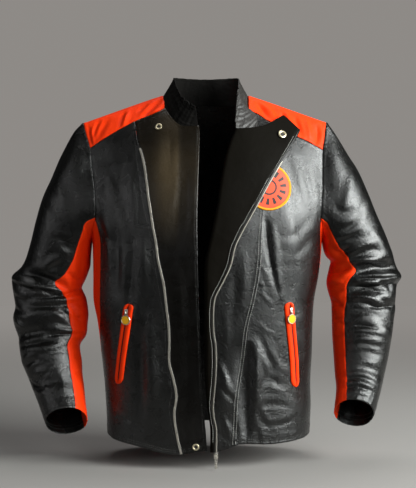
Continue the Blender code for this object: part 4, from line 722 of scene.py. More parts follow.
# ---------------------------------------------------------------- shoulder yokes
# Each shoulder is an orange yoke, sewn to the front, the back, the collar and the sleeve. Its
# seams draw it up a little, so that it puckers across, most of all along the front seam.
YOKE_PUCKERS = {  # columns as the body's creases
    "front": (
        (-82, -10, -99, -24, -116, -43, 3, -4, 0.4), (-74, -13, -92, -33, -109, -47, 3.4, 3, 0.3),
        (-94, -12, -108, -26, -124, -40, 4, 2.2, 0.3), (-112, -20, -120, -28, -128, -32, 3.4, -2, 0.4),
        (-154, -36, -158, -46, -163, -62, 3, -3.6, 0.5), (-146, -36, -151, -48, -156, -60, 4, 2.2, 0.3),
        (-186, -52, -196, -66, -206, -84, 5, -2.2, 0.3), (-203, -53, -212, -72, -219, -90, 2.8, -3, 0.4),
        (-212, -58, -216, -78, -218.5, -96, 2.8, 2, 0.3), (-222, -66, -220, -82, -216, -99, 2.6, -2.6, 0.4),
        (100, -20, 110, -32, 118, -46, 3.6, -4.4, 0.4), (118, -26, 127, -38, 134, -54, 4, 3.1, 0.4),
        (146, -36, 150, -48, 160, -68, 3.8, -4.4, 0.5), (170, -46, 176, -60, 182, -78, 3.8, -3.7, 0.4),
        (190, -52, 196, -66, 198, -86, 4.5, 3.1, 0.3), (212, -62, 214, -78, 210, -96, 3.8, -3.4, 0.4),
    ),
}


def over_shoulder(sign, lateral, root, out=0.0):
    """A point on the shoulder: root is positive in front of the ridge, negative behind."""

    def bare(lateral, root):
        angle = np.where(root >= 0, lateral, 180 - lateral)
        return bare_body(sign * angle, -root * root)

    lateral, root = np.broadcast_arrays(np.asarray(lateral, float), np.asarray(root, float))
    across = bare(lateral + 0.3, root) - bare(lateral - 0.3, root)
    down = bare(lateral, root + 0.004) - bare(lateral, root - 0.004)
    normal = unit(np.cross(across, down)) * -sign
    normal = np.where(normal[..., 2:3] < 0, -normal, normal)
    point = bare(lateral, root)
    lift = out + fold_lift(point) + crease_lift(point, normal, YOKE_PUCKERS)
    return point + normal * lift[..., None]


def yoke_seams(side):
    """The yoke's front and back seam, each with the lateral angle where it meets the armhole."""
    for face, seam in (
        ("front", lambda lateral: YOKE_LINES[side](SIGNS[side] * lateral)), ("back", BACK_YOKE_LINE),
    ):
        outer = 60.0
        for _ in range(20):
            outer = armhole_lateral(seam(outer), side, face)
        yield face, seam, outer


def yoke_places(side, across, rows):
    """Lateral angle and root of a yoke's grid, from the neck out and from front to back."""
    t = np.asarray(rows)[:, None]
    corner = (LEFT_YOKE_SEAM if side == "left" else RIGHT_YOKE_SEAM)[0]
    neck_ends = {"front": abs(find_front(*corner)[0]), "back": BACK_NECK}
    lateral, root = np.zeros((2, len(rows), len(across)))
    for face, seam, outer in yoke_seams(side):
        first = neck_ends[face]
        edge = seam(first + (outer - first) * across)[None, :]
        part = np.abs(t) * root_of(edge + SEAM)
        neck = NECK_LATERAL + (first - NECK_LATERAL) * np.abs(t)
        place = neck + (armhole_lateral(-part * part, side, face) - neck) * across[None, :]
        here = (t <= 0) if face == "front" else (t > 0)
        lateral = np.where(here, place, lateral)
        root = np.where(here, part * (1 if face == "front" else -1), root)
    lateral[:, 0] += 0.04
    lateral[:, -1] -= 0.04
    return lateral, root


for side, sign in SIGNS.items():
    lateral, root = yoke_places(side, spread(0.175), spread(0.13, 0.0026) * 2 - 1)
    lift = edge_relief(over_shoulder(sign, lateral, root), ("seam",) * 4, 2.0 + sign)
    piece = leather_sheet(f"yoke_{side}_leather", over_shoulder(sign, lateral, root, lift), ORANGE_LEATHER,
                          flip=side == "right")
    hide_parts(f"yoke_{side}")

# ---------------------------------------------------------------- sleeves
# Each sleeve is two pieces: a black upper sleeve and an orange panel under the arm, from the
# armpit to the cuff. Both are sewn into the armhole, and the arm's bend crumples them.
SLEEVE_COLUMNS = ("outer_x", "outer_z", "inner_x", "inner_z", "mid_y", "front", "back", "tilt")
SLEEVE_RINGS = {  # from the armhole to the cuff, in mm, and the ring's tilt in degrees
    "right": (
        (234.5, -56.4, 218.5, -276, 4, 71, 74, 0), (252.6, -75.7, 220.5, -284, 4, 73, 76, 0),
        (277, -120.1, 221.5, -292, 5, 73, 75, 0), (294.7, -160.6, 222.3, -300, 6, 72, 73, 0),
        (312.5, -199.2, 223.2, -309, 7, 70, 71, 0), (325.8, -243.6, 224, -320, 8, 68, 69, 0),
        (336.8, -287, 225.5, -334, 9, 65, 66, 0), (350.3, -326.6, 233.5, -356, 10, 62, 62, 0),
        (370, -349.8, 241.4, -372.9, 11, 60, 60, 0), (373.5, -360, 238.5, -383, 11, 59, 58, 0),
        (370.8, -383.6, 232.6, -396.1, 9, 58, 56, 1), (366.9, -409.6, 228.7, -422.3, 6, 56, 54, 3),
        (370.8, -432.8, 230, -443, 2, 55, 53, 5), (363, -463.6, 232.6, -463.6, -2, 54, 52, 8),
        (358, -488, 244.1, -483, -8, 53, 51, 11), (352.6, -515.7, 240.3, -511.9, -15, 52, 50, 15),
        (341, -541, 238.5, -535, -25, 51, 48, 20), (330.5, -564.2, 235, -556, -35, 50, 47, 25),
        (320, -586, 232, -577, -47, 49, 46, 31), (310, -608, 229, -596, -60, 47, 45, 37),
        (301, -627, 226.5, -611, -74, 45, 44, 42),
    ),
    "left": (
        (231.6, -56.4, 225, -276, 4, 71, 74, 0), (249.9, -80, 226.8, -284, 4, 73, 76, 0),
        (273.1, -118, 228, -291, 5, 73, 75, 0), (292.4, -148, 229.5, -299, 6, 72, 73, 0),
        (309.8, -185.7, 231.6, -306, 7, 70, 71, 0), (328.1, -230.1, 235.5, -313, 8, 68, 69, 0),
        (346.4, -270.6, 243.6, -322.7, 9, 65, 66, 0), (358, -301.5, 241, -337, 10, 62, 62, 0),
        (365.7, -326.6, 237.8, -351.7, 11, 60, 60, 0), (373.5, -347.8, 236.4, -361, 11, 59, 58, 0),
        (373.5, -362.3, 236.8, -371, 10, 58, 56, 1), (366.7, -378.7, 240, -384, 7, 56, 55, 3),
        (365.3, -400, 244.9, -401, 3, 55, 53, 4), (365, -415.4, 245.5, -418, -1, 54, 52, 6),
        (361, -440, 245.8, -442, -7, 53, 51, 9), (358, -463.6, 246.1, -463.6, -13, 52, 50, 12),
        (349.7, -506.1, 248.5, -505, -23, 51, 48, 17), (342, -536, 249.9, -533, -34, 50, 47, 23),
        (335.5, -560.4, 251.8, -556, -45, 49, 46, 29), (327, -586, 250, -575, -58, 47, 45, 36),
        (316.5, -613, 247.5, -595, -72, 45, 44, 42),
    ),
}
SLEEVE_POWER, SLEEVE_HEAD = 2.2, (1.0, 0.70, 0.42, 0.20, 0.07)
UNDER_SLEEVE = (  # section number, front seam and back seam angle
    (0.0, 128.0, 230.0), (2.0, 124.0, 230.0), (5.0, 120.0, 228.0), (6.5, 112.0, 228.0),
    (7.6, 103.0, 228.0), (8.4, 112.0, 228.0), (9.5, 119.0, 228.0), (11.0, 120.0, 228.0),
    (13.0, 129.0, 228.0), (16.0, 128.0, 226.0), (20.0, 128.0, 226.0),
)
# Folds round the arm: section number, angle, half span, half height, slant, height.
SLEEVE_FOLDS = {
    "right": (
        (7.3, 70, 60, 0.5, 0.006, -0.006), (8.3, 60, 70, 0.5, 0.006, 0.006),
        (9.3, 75, 60, 0.4, 0.004, -0.006), (10.3, 85, 55, 0.35, 0.0, -0.004),
        (11.4, 70, 60, 0.5, -0.004, 0.004), (12.9, 60, 70, 0.4, -0.006, -0.006),
        (14.6, 70, 60, 0.6, 0.006, 0.004), (17.0, 60, 60, 0.5, 0.006, -0.004),
        (8.0, 270, 60, 0.5, 0.0, 0.004), (9.6, 270, 60, 0.4, 0.0, -0.004),
    ),
    "left": (
        (6.9, 65, 60, 0.5, -0.004, 0.005), (7.9, 62, 48, 0.45, -0.006, -0.010),
        (9.0, 45, 55, 0.45, -0.004, 0.007), (10.1, 48, 55, 0.4, -0.004, -0.008),
        (11.4, 60, 60, 0.45, 0.002, 0.004), (12.6, 62, 60, 0.35, 0.004, -0.004),
        (15.0, 70, 60, 0.6, 0.006, 0.004), (17.2, 60, 60, 0.5, -0.006, -0.004),
        (8.0, 270, 60, 0.5, 0.0, 0.004), (9.6, 270, 60, 0.4, 0.0, -0.004),
    ),
}
SLEEVE_CREASES = {  # columns as the body's creases
    "right": {
        "front": (
            (-366, -351, -324, -345, -262, -372, 7.5, -5, 0.45),
            (-352, -357, -330, -366, -303, -384, 6, 4, 0.2), (-335, -381, -299, -387, -260, -380, 4, -3, 0.5),
            (-335, -394, -299, -393, -240, -388, 4.5, 2.6, 0.3),
            (-340, -404, -299, -404, -245, -400, 4, -2.6, 0.5),
            (-325, -416, -300, -412, -285, -418, 4, 1.6, 0.4),
            (-282, -409, -268, -416, -257, -432, 4, -2.2, 0.5),
            (-291, -415, -277, -423, -264, -440, 4, 1.8, 0.3),
            (-310, -449, -285, -445, -255, -453, 5.5, 3.4, 0.3),
            (-312, -466, -280, -457, -235, -460, 3.8, -3.4, 0.5),
            (-354, -484, -321, -473, -288, -467, 4.2, -3, 0.5),
            (-348, -490, -315, -482, -262, -472, 5, 2.2, 0.3),
            (-330, -498, -300, -492, -265, -487, 4.5, -1.8, 0.4),
            (-364, -434, -352, -443, -343, -460, 4, 2.8, 0.4),
            (-356, -447, -346, -452, -336, -470, 3.8, -2.6, 0.4),
            (-368, -410, -354, -416, -338, -418, 4.2, -2.6, 0.5),
            (-370, -385, -358, -390, -342, -400, 4.2, -2.2, 0.4),
            (-350, -512, -338, -500, -322, -494, 3.6, 2.6, 0.5),
            (-346, -520, -334, -510, -318, -502, 3.4, -2.4, 0.4),
            (-340, -526, -329, -516, -314, -509, 3.4, 2.2, 0.5),
            (-325, -543, -308, -530, -292, -522, 4, -2.4, 0.5),
            (-318, -536, -302, -524, -288, -515, 3.6, 1.8, 0.3),
            (-336, -545, -322, -555, -300, -548, 3.6, -2.4, 0.5),
            (-330, -556, -316, -564, -296, -556, 3.6, 2, 0.4),
            (-328, -570, -312, -560, -298, -562, 3.2, -2, 0.5),
            (-284, -520, -272, -535, -266, -560, 5, 1.2, 0.3),
            (-299, -337, -288, -328, -274, -322, 5, -2.8, 0.5),
            (-300, -322, -285, -312, -268, -302, 6, 2.2, 0.3),
            (-262, -340, -250, -352, -240, -372, 5, -2.6, 0.4),
            (-270, -338, -262, -358, -255, -376, 5, 2.2, 0.3),
            (-258, -408, -246, -425, -238, -448, 4.5, -2, 0.4),
            (-290, -270, -272, -275, -252, -282, 5, -1.4, 0.4),
            (-285, -292, -270, -297, -255, -306, 5.5, 1.4, 0.4),
            (-290, -145, -272, -190, -250, -250, 8, 1.6, 0.3),
            (-308, -195, -290, -235, -262, -290, 7.5, -1.6, 0.4),
            (-232, -285, -238, -330, -239.4, -374, 6, -3.2, 0.3),
            (-266, -383, -252, -379, -238, -386, 4.5, -3.2, 0.4),
            (-262, -396, -250, -398, -238, -406, 4, -2.2, 0.4),
            (-252, -425, -244, -428, -235, -424, 4, -2.2, 0.4),
            (-250, -500, -244, -506, -238, -512, 4, -2.2, 0.4),
            (-250, -530, -244, -534, -238, -543, 4, -2, 0.4),
        ),
        "back": (
            (-360, -335, -305, -350, -250, -352, 6.5, -4.5, 0.5),
            (-352, -350, -305, -362, -258, -366, 5.5, 3, 0.3),
            (-355, -372, -305, -378, -255, -388, 5, -3, 0.5),
            (-345, -400, -305, -396, -262, -410, 5, -2.4, 0.5),
            (-300, -180, -278, -225, -250, -260, 8, -2, 0.4),
            (-320, -240, -290, -275, -255, -290, 7.5, -2, 0.4),
            (-350, -440, -310, -446, -265, -440, 5, -2.4, 0.5),
            (-345, -480, -310, -490, -268, -485, 5, -2.2, 0.5),
            (-335, -515, -305, -522, -268, -512, 5, 1.8, 0.4),
            (-328, -550, -298, -556, -262, -548, 5, -2, 0.5),
        ),
    },
    "left": {
        "front": (
            (278, -331, 262, -339, 240, -351, 4.5, -4.2, 0.5), (276, -338, 262, -348, 246, -360, 5, 2.8, 0.3),
            (262, -306, 250, -300, 240, -290, 5, -2.8, 0.4),
            (262, -372, 252, -378, 242, -386, 4.5, -2.6, 0.4),
            (264, -400, 254, -404, 244, -412, 4, -2.2, 0.4), (263, -424, 254, -428, 245, -430, 4, -2.2, 0.4),
            (264, -455, 256, -459, 247, -466, 4, -2, 0.4), (266, -492, 257, -497, 249, -500, 4, -2, 0.4),
            (268, -530, 259, -532, 251, -540, 4, -1.8, 0.4), (268, -313, 290, -289, 322, -280, 6.5, 3.6, 0.3),
            (316, -262, 331, -279, 337, -296, 8, 3.6, 0.2), (300, -300, 318, -296, 334, -306, 6, -2.2, 0.3),
            (262, -318, 300, -313, 331, -321, 4.5, 3.2, 0.3), (284, -330, 308, -323, 333, -328, 5.5, -6, 0.4),
            (290, -346, 330, -343, 368, -346, 4, 2.8, 0.2), (292, -352, 330, -350, 370, -349, 3.4, -3.6, 0.4),
            (290, -357, 322, -359, 346, -373, 4.5, 3.4, 0.3), (277, -366, 305, -369, 335, -379, 6, -5.2, 0.4),
            (350, -352, 353, -366, 345, -380, 4, -2.8, 0.4), (274, -387, 305, -385, 338, -402, 5, 3.4, 0.3),
            (282, -396, 308, -398, 330, -409, 4.2, -3.2, 0.4), (290, -404, 312, -408, 336, -413, 4, 2, 0.3),
            (338, -392, 350, -402, 358, -412, 4.2, -2.6, 0.4), (280, -428, 303, -425, 326, -433, 5.8, 3, 0.3),
            (283, -440, 305, -441, 330, -448, 4, -2.6, 0.5), (340, -436, 350, -446, 354, -458, 5, -2.2, 0.4),
            (272, -460, 300, -455, 338, -463, 4.2, -2, 0.5), (275, -468, 300, -464, 332, -470, 4, 1.4, 0.3),
            (272, -478, 300, -472, 332, -481, 4.2, -2, 0.5),
            (276, -494, 303, -487, 330, -497, 4.2, -1.6, 0.5),
            (280, -510, 300, -506, 322, -512, 4.5, 1.4, 0.4),
            (268, -540, 295, -534, 322, -548, 3.8, -2.2, 0.5),
            (265, -548, 290, -543, 318, -556, 3.6, 1.8, 0.4), (262, -556, 288, -551, 316, -563, 3.4, -2, 0.5),
            (262, -564, 284, -560, 306, -566, 3.4, 1.6, 0.3),
            (256, -245, 268, -240, 282, -234, 6.5, 2.2, 0.3), (254, -268, 272, -262, 292, -250, 5, 2.2, 0.4),
            (252, -280, 270, -273, 288, -264, 5.5, -2.2, 0.4),
            (245, -215, 258, -222, 276, -220, 6, -1.8, 0.4), (248, -300, 262, -296, 276, -290, 5, -1.8, 0.4),
            (246, -345, 262, -336, 278, -326, 5, -3.4, 0.4), (240, -352, 254, -358, 270, -352, 5.5, 2.8, 0.3),
            (242, -392, 254, -400, 264, -412, 4.5, -2, 0.4),
            (246, -430, 258, -436, 270, -440, 4.5, -1.8, 0.4), (285, -130, 272, -180, 255, -240, 8, 1.6, 0.3),
            (305, -180, 290, -225, 265, -265, 7, -1.6, 0.4),
        ),
        "back": (
            (362, -330, 305, -342, 252, -345, 6.5, -4.5, 0.5), (354, -346, 306, -356, 258, -362, 5.5, 3, 0.3),
            (355, -366, 308, -372, 262, -384, 5, -3, 0.5), (348, -396, 312, -393, 270, -404, 5, -2.4, 0.5),
            (300, -170, 280, -215, 252, -250, 8, -2, 0.4), (322, -235, 292, -265, 258, -280, 7.5, -2, 0.4),
            (350, -435, 312, -440, 268, -434, 5, -2.4, 0.5), (345, -474, 312, -482, 276, -476, 5, -2.2, 0.5),
            (336, -508, 305, -514, 272, -506, 5, 1.8, 0.4), (328, -542, 300, -548, 268, -540, 5, -2, 0.5),
        ),
    },
}


def armhole_points(side):
    """The armhole's edge from the shoulder down the front, under the arm and up the back."""
    sign = SIGNS[side]
    ends = {face: float(seam(outer)) for face, seam, outer in yoke_seams(side)}

    def shoulder(face, roots):
        return over_shoulder(sign, armhole_lateral(-roots * roots, side, face) - 0.04, roots)

    front, back = side_seam(side, "front"), side_seam(side, "back")
    down = np.linspace(ends["front"], ARMHOLE_CORNER, 26)[1:]
    under = np.linspace(front(ARMHOLE_CORNER), back(ARMHOLE_CORNER), 30)[1:-1]
    up = np.linspace(ARMHOLE_CORNER, ends["back"], 26)
    parts = [
        shoulder("front", np.linspace(0, root_of(ends["front"]), 12)),
        body(front(down), down),
        body(under, side_panel_top(side)(under)),
        body(back(up), up),
        shoulder("back", np.linspace(-root_of(ends["back"]), 0, 12)[1:-1]),
    ]
    front_corner = len(parts[0]) + len(parts[1]) - 1
    return np.concatenate(parts), front_corner, front_corner + 1 + len(parts[2])


def through(before, start, end, after, share):
    """From start to end on a curve through all four points."""
    return glide(start, end, (end - before) / 2, (after - start) / 2, share)


class Sleeve:
    """One sleeve's form: station along it, angle round it (0 outer, 90 front, 180 inner)."""

    def __init__(self, side):
        self.side, self.sign = side, SIGNS[side]
        table = np.array(metres(SLEEVE_RINGS[side], 7))
        self.last = len(table) - 1
        self.rows = {name: table[:, i] for i, name in enumerate(SLEEVE_COLUMNS)}
        self.head = np.zeros(len(table))
        self.head[: len(SLEEVE_HEAD)] = SLEEVE_HEAD
        loop, *corners = armhole_points(side)
        self.low, self.high = loop.min(axis=0), loop.max(axis=0)
        self.middle = (self.low + self.high) / 2
        aside = loop - self.middle
        rise, depth = (2 * aside[:, i] / (self.high[i] - self.low[i]) for i in (2, 1))
        turns = np.degrees(np.arctan2(bend(-depth, SLEEVE_POWER / 2), bend(rise, SLEEVE_POWER / 2))) % 360
        self.corners = turns[corners]
        order = np.argsort(turns)
        self.turns, self.loop = turns[order], loop[order]

    def ring(self, number, angle):
        number = np.clip(number, 0, self.last)
        row = {name: values[number] for name, values in self.rows.items()}
        nothing = np.zeros_like(row["mid_y"])
        outer = np.stack([self.sign * row["outer_x"], nothing, row["outer_z"]], axis=-1)
        inner = np.stack([self.sign * row["inner_x"], nothing, row["inner_z"]], axis=-1)
        half = (outer - inner) / 2
        up = unit(np.stack([-half[..., 2] * self.sign, nothing, half[..., 0] * self.sign], axis=-1))
        tilt = np.radians(row["tilt"])[..., None]
        front = np.array([0.0, -1.0, 0.0]) * np.cos(tilt) + up * np.sin(tilt)
        c, s = np.cos(np.radians(angle)), np.sin(np.radians(angle))
        depth = np.where(s >= 0, row["front"], row["back"])
        middle = (outer + inner) / 2 + np.stack([nothing, row["mid_y"], nothing], axis=-1)
        across = half * bend(c, 2 / SLEEVE_POWER)[..., None]
        section = middle + across + front * (depth * bend(s, 2 / SLEEVE_POWER))[..., None]
        sides = [np.interp(angle, self.turns, self.loop[:, i], period=360) for i in range(3)]
        edge = np.stack(sides, axis=-1)
        down = ((self.high[2] - edge[..., 2]) / (self.high[2] - self.low[2]))[..., None]
        head = outer + (inner - outer) * down + edge * np.array([0.0, 1.0, 0.0])
        point = section + (head - section) * self.head[number][..., None]
        start = edge + np.array([self.sign * SEAM * 1.5, 0.0, 0.0])
        return np.where((number <= 0)[..., None], start, point)

    def bare(self, station, angle):
        number = np.minimum(station.astype(int), self.last - 1)
        start, end = self.ring(number, angle), self.ring(number + 1, angle)
        before = np.where((number > 0)[..., None], self.ring(number - 1, angle), start * 2 - end)
        after = np.where((number + 2 <= self.last)[..., None], self.ring(number + 2, angle), end * 2 - start)
        return through(before, start, end, after, (station - number)[..., None])

    def fold(self, station, angle):
        lift = np.zeros(station.shape)
        for place, turn, span, half, slant, height in SLEEVE_FOLDS[self.side]:
            aside = (angle - turn + 180) % 360 - 180
            round_arm = np.cos(math.pi / 2 * np.clip(np.abs(aside) / span, 0, 1))
            lift += height * bell(station - place - slant * aside, half) * round_arm
        return lift * ease(station / 1.5)

    def at(self, station, angle, out=0.0):
        station, angle = np.broadcast_arrays(np.asarray(station, float), np.asarray(angle, float))
        point = self.bare(station, angle)
        above, below = np.maximum(0.0, station - 0.05), np.minimum(float(self.last), station + 0.05)
        along = self.bare(below, angle) - self.bare(above, angle)
        around = self.bare(station, angle + 1.0) - self.bare(station, angle - 1.0)
        normal = unit(np.cross(around, along)) * self.sign
        aside = unit((point - self.middle) * np.array([0.0, 1.0, 1.0]))
        normal = np.where((station <= 0)[..., None], aside, normal)
        lift = out + self.fold(station, angle) + crease_lift(point, normal, SLEEVE_CREASES[self.side])
        return point + normal * lift[..., None]


UNDER_FRONT, UNDER_BACK = (Line([(row[0], row[i]) for row in UNDER_SLEEVE]) for i in (1, 2))
SLEEVES = {side: Sleeve(side) for side in SIGNS}
SLEEVE_ROWS = np.concatenate([
    [0, 0.03, 0.07, 0.12, 0.18, 0.26, 0.36], np.linspace(0.47, 19.4, 176), np.linspace(19.45, 20, 10),
])[:, None]


def sleeve_angles(side, part, across):
    """Angles of a sleeve piece's grid: rows along the arm, columns round it."""
    front0, back0 = SLEEVES[side].corners
    share = ease(SLEEVE_ROWS / 3)
    front = (1 - share) * front0 + share * UNDER_FRONT(SLEEVE_ROWS)
    back = (1 - share) * back0 + share * UNDER_BACK(SLEEVE_ROWS)
    low, high = (back - 360, front) if part == "sleeve" else (front, back)
    gap = math.degrees(SEAM / 2 / 0.045)
    return low + gap + (high - low - 2 * gap) * across[None, :]


for side, sleeve in SLEEVES.items():
    for part, paint, across, (width, length, area) in (
        ("sleeve", BLACK_LEATHER, spread(0.30), (0.34, 0.62, 0.145)),
        ("under_sleeve", ORANGE_LEATHER, spread(0.115), (0.14, 0.42, 0.039)),
    ):
        station, angle = np.broadcast_arrays(SLEEVE_ROWS, sleeve_angles(side, part, across))
        lift = edge_relief(sleeve.bare(station, angle), ("seam", "seam", "seam", "hem"), seed)
        seed += 2.3
        piece = leather_sheet(f"{part}_{side}_leather", sleeve.at(station, angle, lift), paint,
                              flip=side == "left")
        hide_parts(f"{part}_{side}")

# ---------------------------------------------------------------- collar
# A stand collar of two layers with an interlining, sewn over the neck seam. Its right end stands
# up in front; its left end falls open and lies beside the lapel, crumpled and worn grey.
DOUBLE_LEATHER, COLLAR_LIFT = 0.0024, 0.0008
COLLAR = (  # face and body angle of the lower edge; its level, and the upper edge's x, y and z, in mm
    ("front", -1.9, -60, -19, -66, -24), ("front", -4.4, -60.5, -25, -64, -20.5),
    ("front", -7.3, -59.6, -32, -60, -16), ("front", -9.6, -53, -40, -53, -8),
    ("front", -12.0, -40, -48, -42, 1), ("front", -14.2, -26, -55.5, -25, 14),
    ("front", -14.9, -8, -59, -8, 26), ("front", -15.0, -0.1, -60, 1, 29.5), ("back", 14.1, -8, -60, 10, 31),
    ("back", 11.5, -32, -52, 30, 31), ("back", 7.0, -44, -33, 43, 30), ("back", 0.0, -50, 0, 49, 29),
    ("back", -7.0, -44, 34, 43, 30), ("back", -11.5, -32, 54, 30, 31), ("back", -14.1, -8, 62.5, 10, 30),
    ("front", 15.0, -0.1, 64, 1, 26), ("front", 14.9, -8, 64, -8, 20), ("front", 15.2, -24.5, 62, -27, 4),
    ("front", 17.4, -29, 60, -42, -13), ("front", 18.8, -34, 57.5, -55, -31),
    ("front", 19.0, -45, 56.5, -67, -48), ("front", 19.0, -60, 57, -74, -66),
)


def collar_rails():
    lower, upper = [], []
    for face, angle, *sizes in COLLAR:
        level, *brim = np.array(sizes) / 1000
        turned = 1 if face == "front" else -1
        foot = over_shoulder(turned * math.copysign(1, angle), abs(angle), turned * float(root_of(level)))
        lower.append(foot + np.array([0, 0, COLLAR_LIFT]))
        upper.append(brim)
    return np.array(lower), np.array(upper)


COLLAR_RAILS, COLLAR_LAST = collar_rails(), len(COLLAR) - 1


def collar_bare(u, v):
    u, v = np.broadcast_arrays(u, v)
    number = np.minimum(u.astype(int), COLLAR_LAST - 1)
    foot, brim = (
        through(rail[np.maximum(0, number - 1)], rail[number], rail[number + 1],
                rail[np.minimum(COLLAR_LAST, number + 2)], (u - number)[..., None])
        for rail in COLLAR_RAILS
    )
    return foot + (brim - foot) * (v + (1 - v) * 0.012)[..., None]


def collar_at(u, v, deep):
    along = collar_bare(np.minimum(COLLAR_LAST, u + 0.05), v) - collar_bare(np.maximum(0, u - 0.05), v)
    inward = unit(np.cross(collar_bare(u, 1.0 + 0 * v) - collar_bare(u, 0.0 * v), along))
    return collar_bare(u, v) + inward * deep[..., None]


u = np.linspace(0, COLLAR_LAST, 190)[None, :]
v = spread(0.042, 0.0022)[:, None] * 1.05 - 0.05
bare = collar_bare(u, v)
left_end = reach(bare, 1)[0]
foot, brim = reach(bare, 0)
crinkle = ripple(left_end + foot * 0.6, 1.3) * 0.00045 + ripple(left_end * 0.5 - foot * 1.7, 4.1) * 0.0004
rim = 0.0006 * bell(brim, 0.0012) + 0.0004 * bell(brim - 0.005, 0.001)
worn_end = ease((bare[..., 0] - 0.01) / 0.045) * ease((0.0 - bare[..., 1]) / 0.02)
soft_end = ease((-0.016 - bare[..., 0]) / 0.012) * ease((-0.020 - bare[..., 1]) / 0.03)
deep = SEAM + 0.0002 - crinkle * ease(foot / 0.006) * (0.4 + 1.4 * worn_end + 1.2 * soft_end) + rim
COLLAR_FINISH = leather_material(
    "collar_finish", (0.0030, 0.0028, 0.0026), (0.0055, 0.0050, 0.0045), (0.010, 0.009, 0.008), 0.42,
    gleam=0.30, grain=0.00003, pebble=0.00040, mottle=0.00090, crumple=0.0022,
)


def glossed(paint, share, plain, glossy):
    """Makes a material's roughness and gleam go from plain to glossy with a share socket."""
    tree, shader = paint.node_tree, paint.node_tree.nodes["Principled BSDF"]
    for socket, low, high in zip(("Roughness", "Specular IOR Level"), plain, glossy):
        put(tree, shader, {socket: ranged(tree, share, 0.0, 1.0, low, high)})


worn = attribute(COLLAR_FINISH.node_tree, "worn")
glossed(COLLAR_FINISH, worn, (0.92, 0.06), (0.50, 0.40))
toned(COLLAR_FINISH, worn, (0.013, 0.0115, 0.010))
points = collar_at(u, v, deep)
points[..., 2] -= soft_end * ease((0.016 - brim) / 0.012) * (
    0.0022 + 0.0020 * np.sin(left_end * 520 + 0.6) + 0.0013 * np.sin(left_end * 910 + 2.0))
piece = leather_sheet("collar_leather", points, COLLAR_FINISH, DOUBLE_LEATHER, flip=True,
                      fields=(("worn", ease((points[..., 0] - 0.01) / 0.045)),))
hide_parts("collar")

# ---------------------------------------------------------------- lapel
# The facing of the left front: with the jacket open, the front's edge rolls back over it and
# shows this smooth, matt black side, from the collar down to the hem.
LAPEL_ROWS = (19, 18, 16, 14, 13, 12, 11, 10, 9, 8, 7, 6, 5, 4, 3, 2, 0)
LAPEL_TOP = metres((
    (58, -71), (81, -70), (98, -67), (110, -64), (127, -56), (146, -45), (177.5, -73),
))
LAPEL_ROLL, LAPEL_EDGE, LAPEL_CLEAR, LAPEL_TURN = 0.0098, 0.0071, 0.0003, 0.30
LAPEL_TOP_LINE = seam_places(LAPEL_TOP)
FACING = leather_material(
    "facing_finish", (0.0026, 0.0021, 0.0014), (0.0038, 0.0031, 0.0020), (0.006, 0.005, 0.004), 0.60,
    gleam=0.03, grain=0.00002, pebble=0.00010, mottle=0.00020, crumple=0.0010,
)
glossed(FACING, attribute(FACING.node_tree, "border"), (0.60, 0.03), (0.30, 0.25))


def lapel_points(across, rows):
    edges = seam_places(LEFT_EDGE)[1][list(LAPEL_ROWS)]
    edges[0] = HEM_LINE(LAPEL_EDGE_LINE(-0.66))
    last = len(ROLL_LEVELS) - 1
    index = rows * last
    start_level = np.interp(index, np.arange(last + 1), ROLL_LEVELS)[:, None]
    end_level = np.interp(index, np.arange(last + 1), edges)[:, None]
    u = across[None, :]
    flat = np.clip((u - LAPEL_TURN) / (1 - LAPEL_TURN), 0, 1)
    level = (1 - flat) * start_level + flat * end_level
    start, end = ROLL_LINE(start_level), LAPEL_EDGE_LINE(end_level)
    middle = (1 - flat) * start + flat * end
    last_row = np.clip(index - last + 1, 0, 1)[:, None]
    corner = (1 - flat) * ROLL_LINE(ROLL_LEVELS[-1]) + flat * LAPEL_EDGE_LINE(edges[-1])
    straight = (1 - flat) * ROLL_LEVELS[-1] + flat * edges[-1]
    level = level + last_row * (np.interp(corner, *LAPEL_TOP_LINE) - straight)
    width = np.maximum(0.003, (end - start) / angle_step(start, level, 1.0))
    radius = (LAPEL_ROLL + LEATHER / 2) / 2
    turning = math.pi * u / LAPEL_TURN
    spanned = (LAPEL_CLEAR + width) * flat - LAPEL_CLEAR
    side = np.where(u < LAPEL_TURN, -LAPEL_CLEAR - radius * np.sin(turning), spanned)
    height = np.where(u < LAPEL_TURN, -LEATHER / 2 + radius * (1 - np.cos(turning)),
                      LAPEL_ROLL + (LAPEL_EDGE - LAPEL_ROLL) * ease(flat))
    return middle + angle_step(middle, level, side - spanned - LAPEL_CLEAR), level, height + 0 * width


across = np.concatenate([np.linspace(0, LAPEL_TURN, 13), LAPEL_TURN + (1 - LAPEL_TURN) * spread(0.09)[4:]])
angle, level, height = lapel_points(across, np.linspace(0, 1, 220))
sag = 0.0008 * np.sin(level * 47 + 1.0) * ease((across - 0.35) / 0.3) * ease((0.98 - across) / 0.2)
lapel_rim = reach(body(angle, level, height), 1)[1]
rolled = 0.0007 * bell(lapel_rim - 0.0028, 0.0016) - 0.0007 * bell(lapel_rim - 0.0055, 0.0008)
rolled -= 0.0010 * bell(lapel_rim, 0.0010)
lapel_grid = body(angle, level, height + sag + rolled)
piece = leather_sheet("lapel_left_facing", lapel_grid, FACING, offset=0.0,
                      fields=(("border", 1 - ease((lapel_rim - 0.0052) / 0.0012)),))
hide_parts("lapel_left")

# ---------------------------------------------------------------- front zips
# Metal teeth crimped on black woven tapes. One half is let into the right front's seam; the
# other runs along the lapel's edge down to the slider, where the two would be joined.
ZIP_PITCH, ZIP_HALF_TAPE, LEFT_ZIP_END, LEFT_ZIP_FLOOR = 0.0021, 0.0030, -0.6675, 0.0029


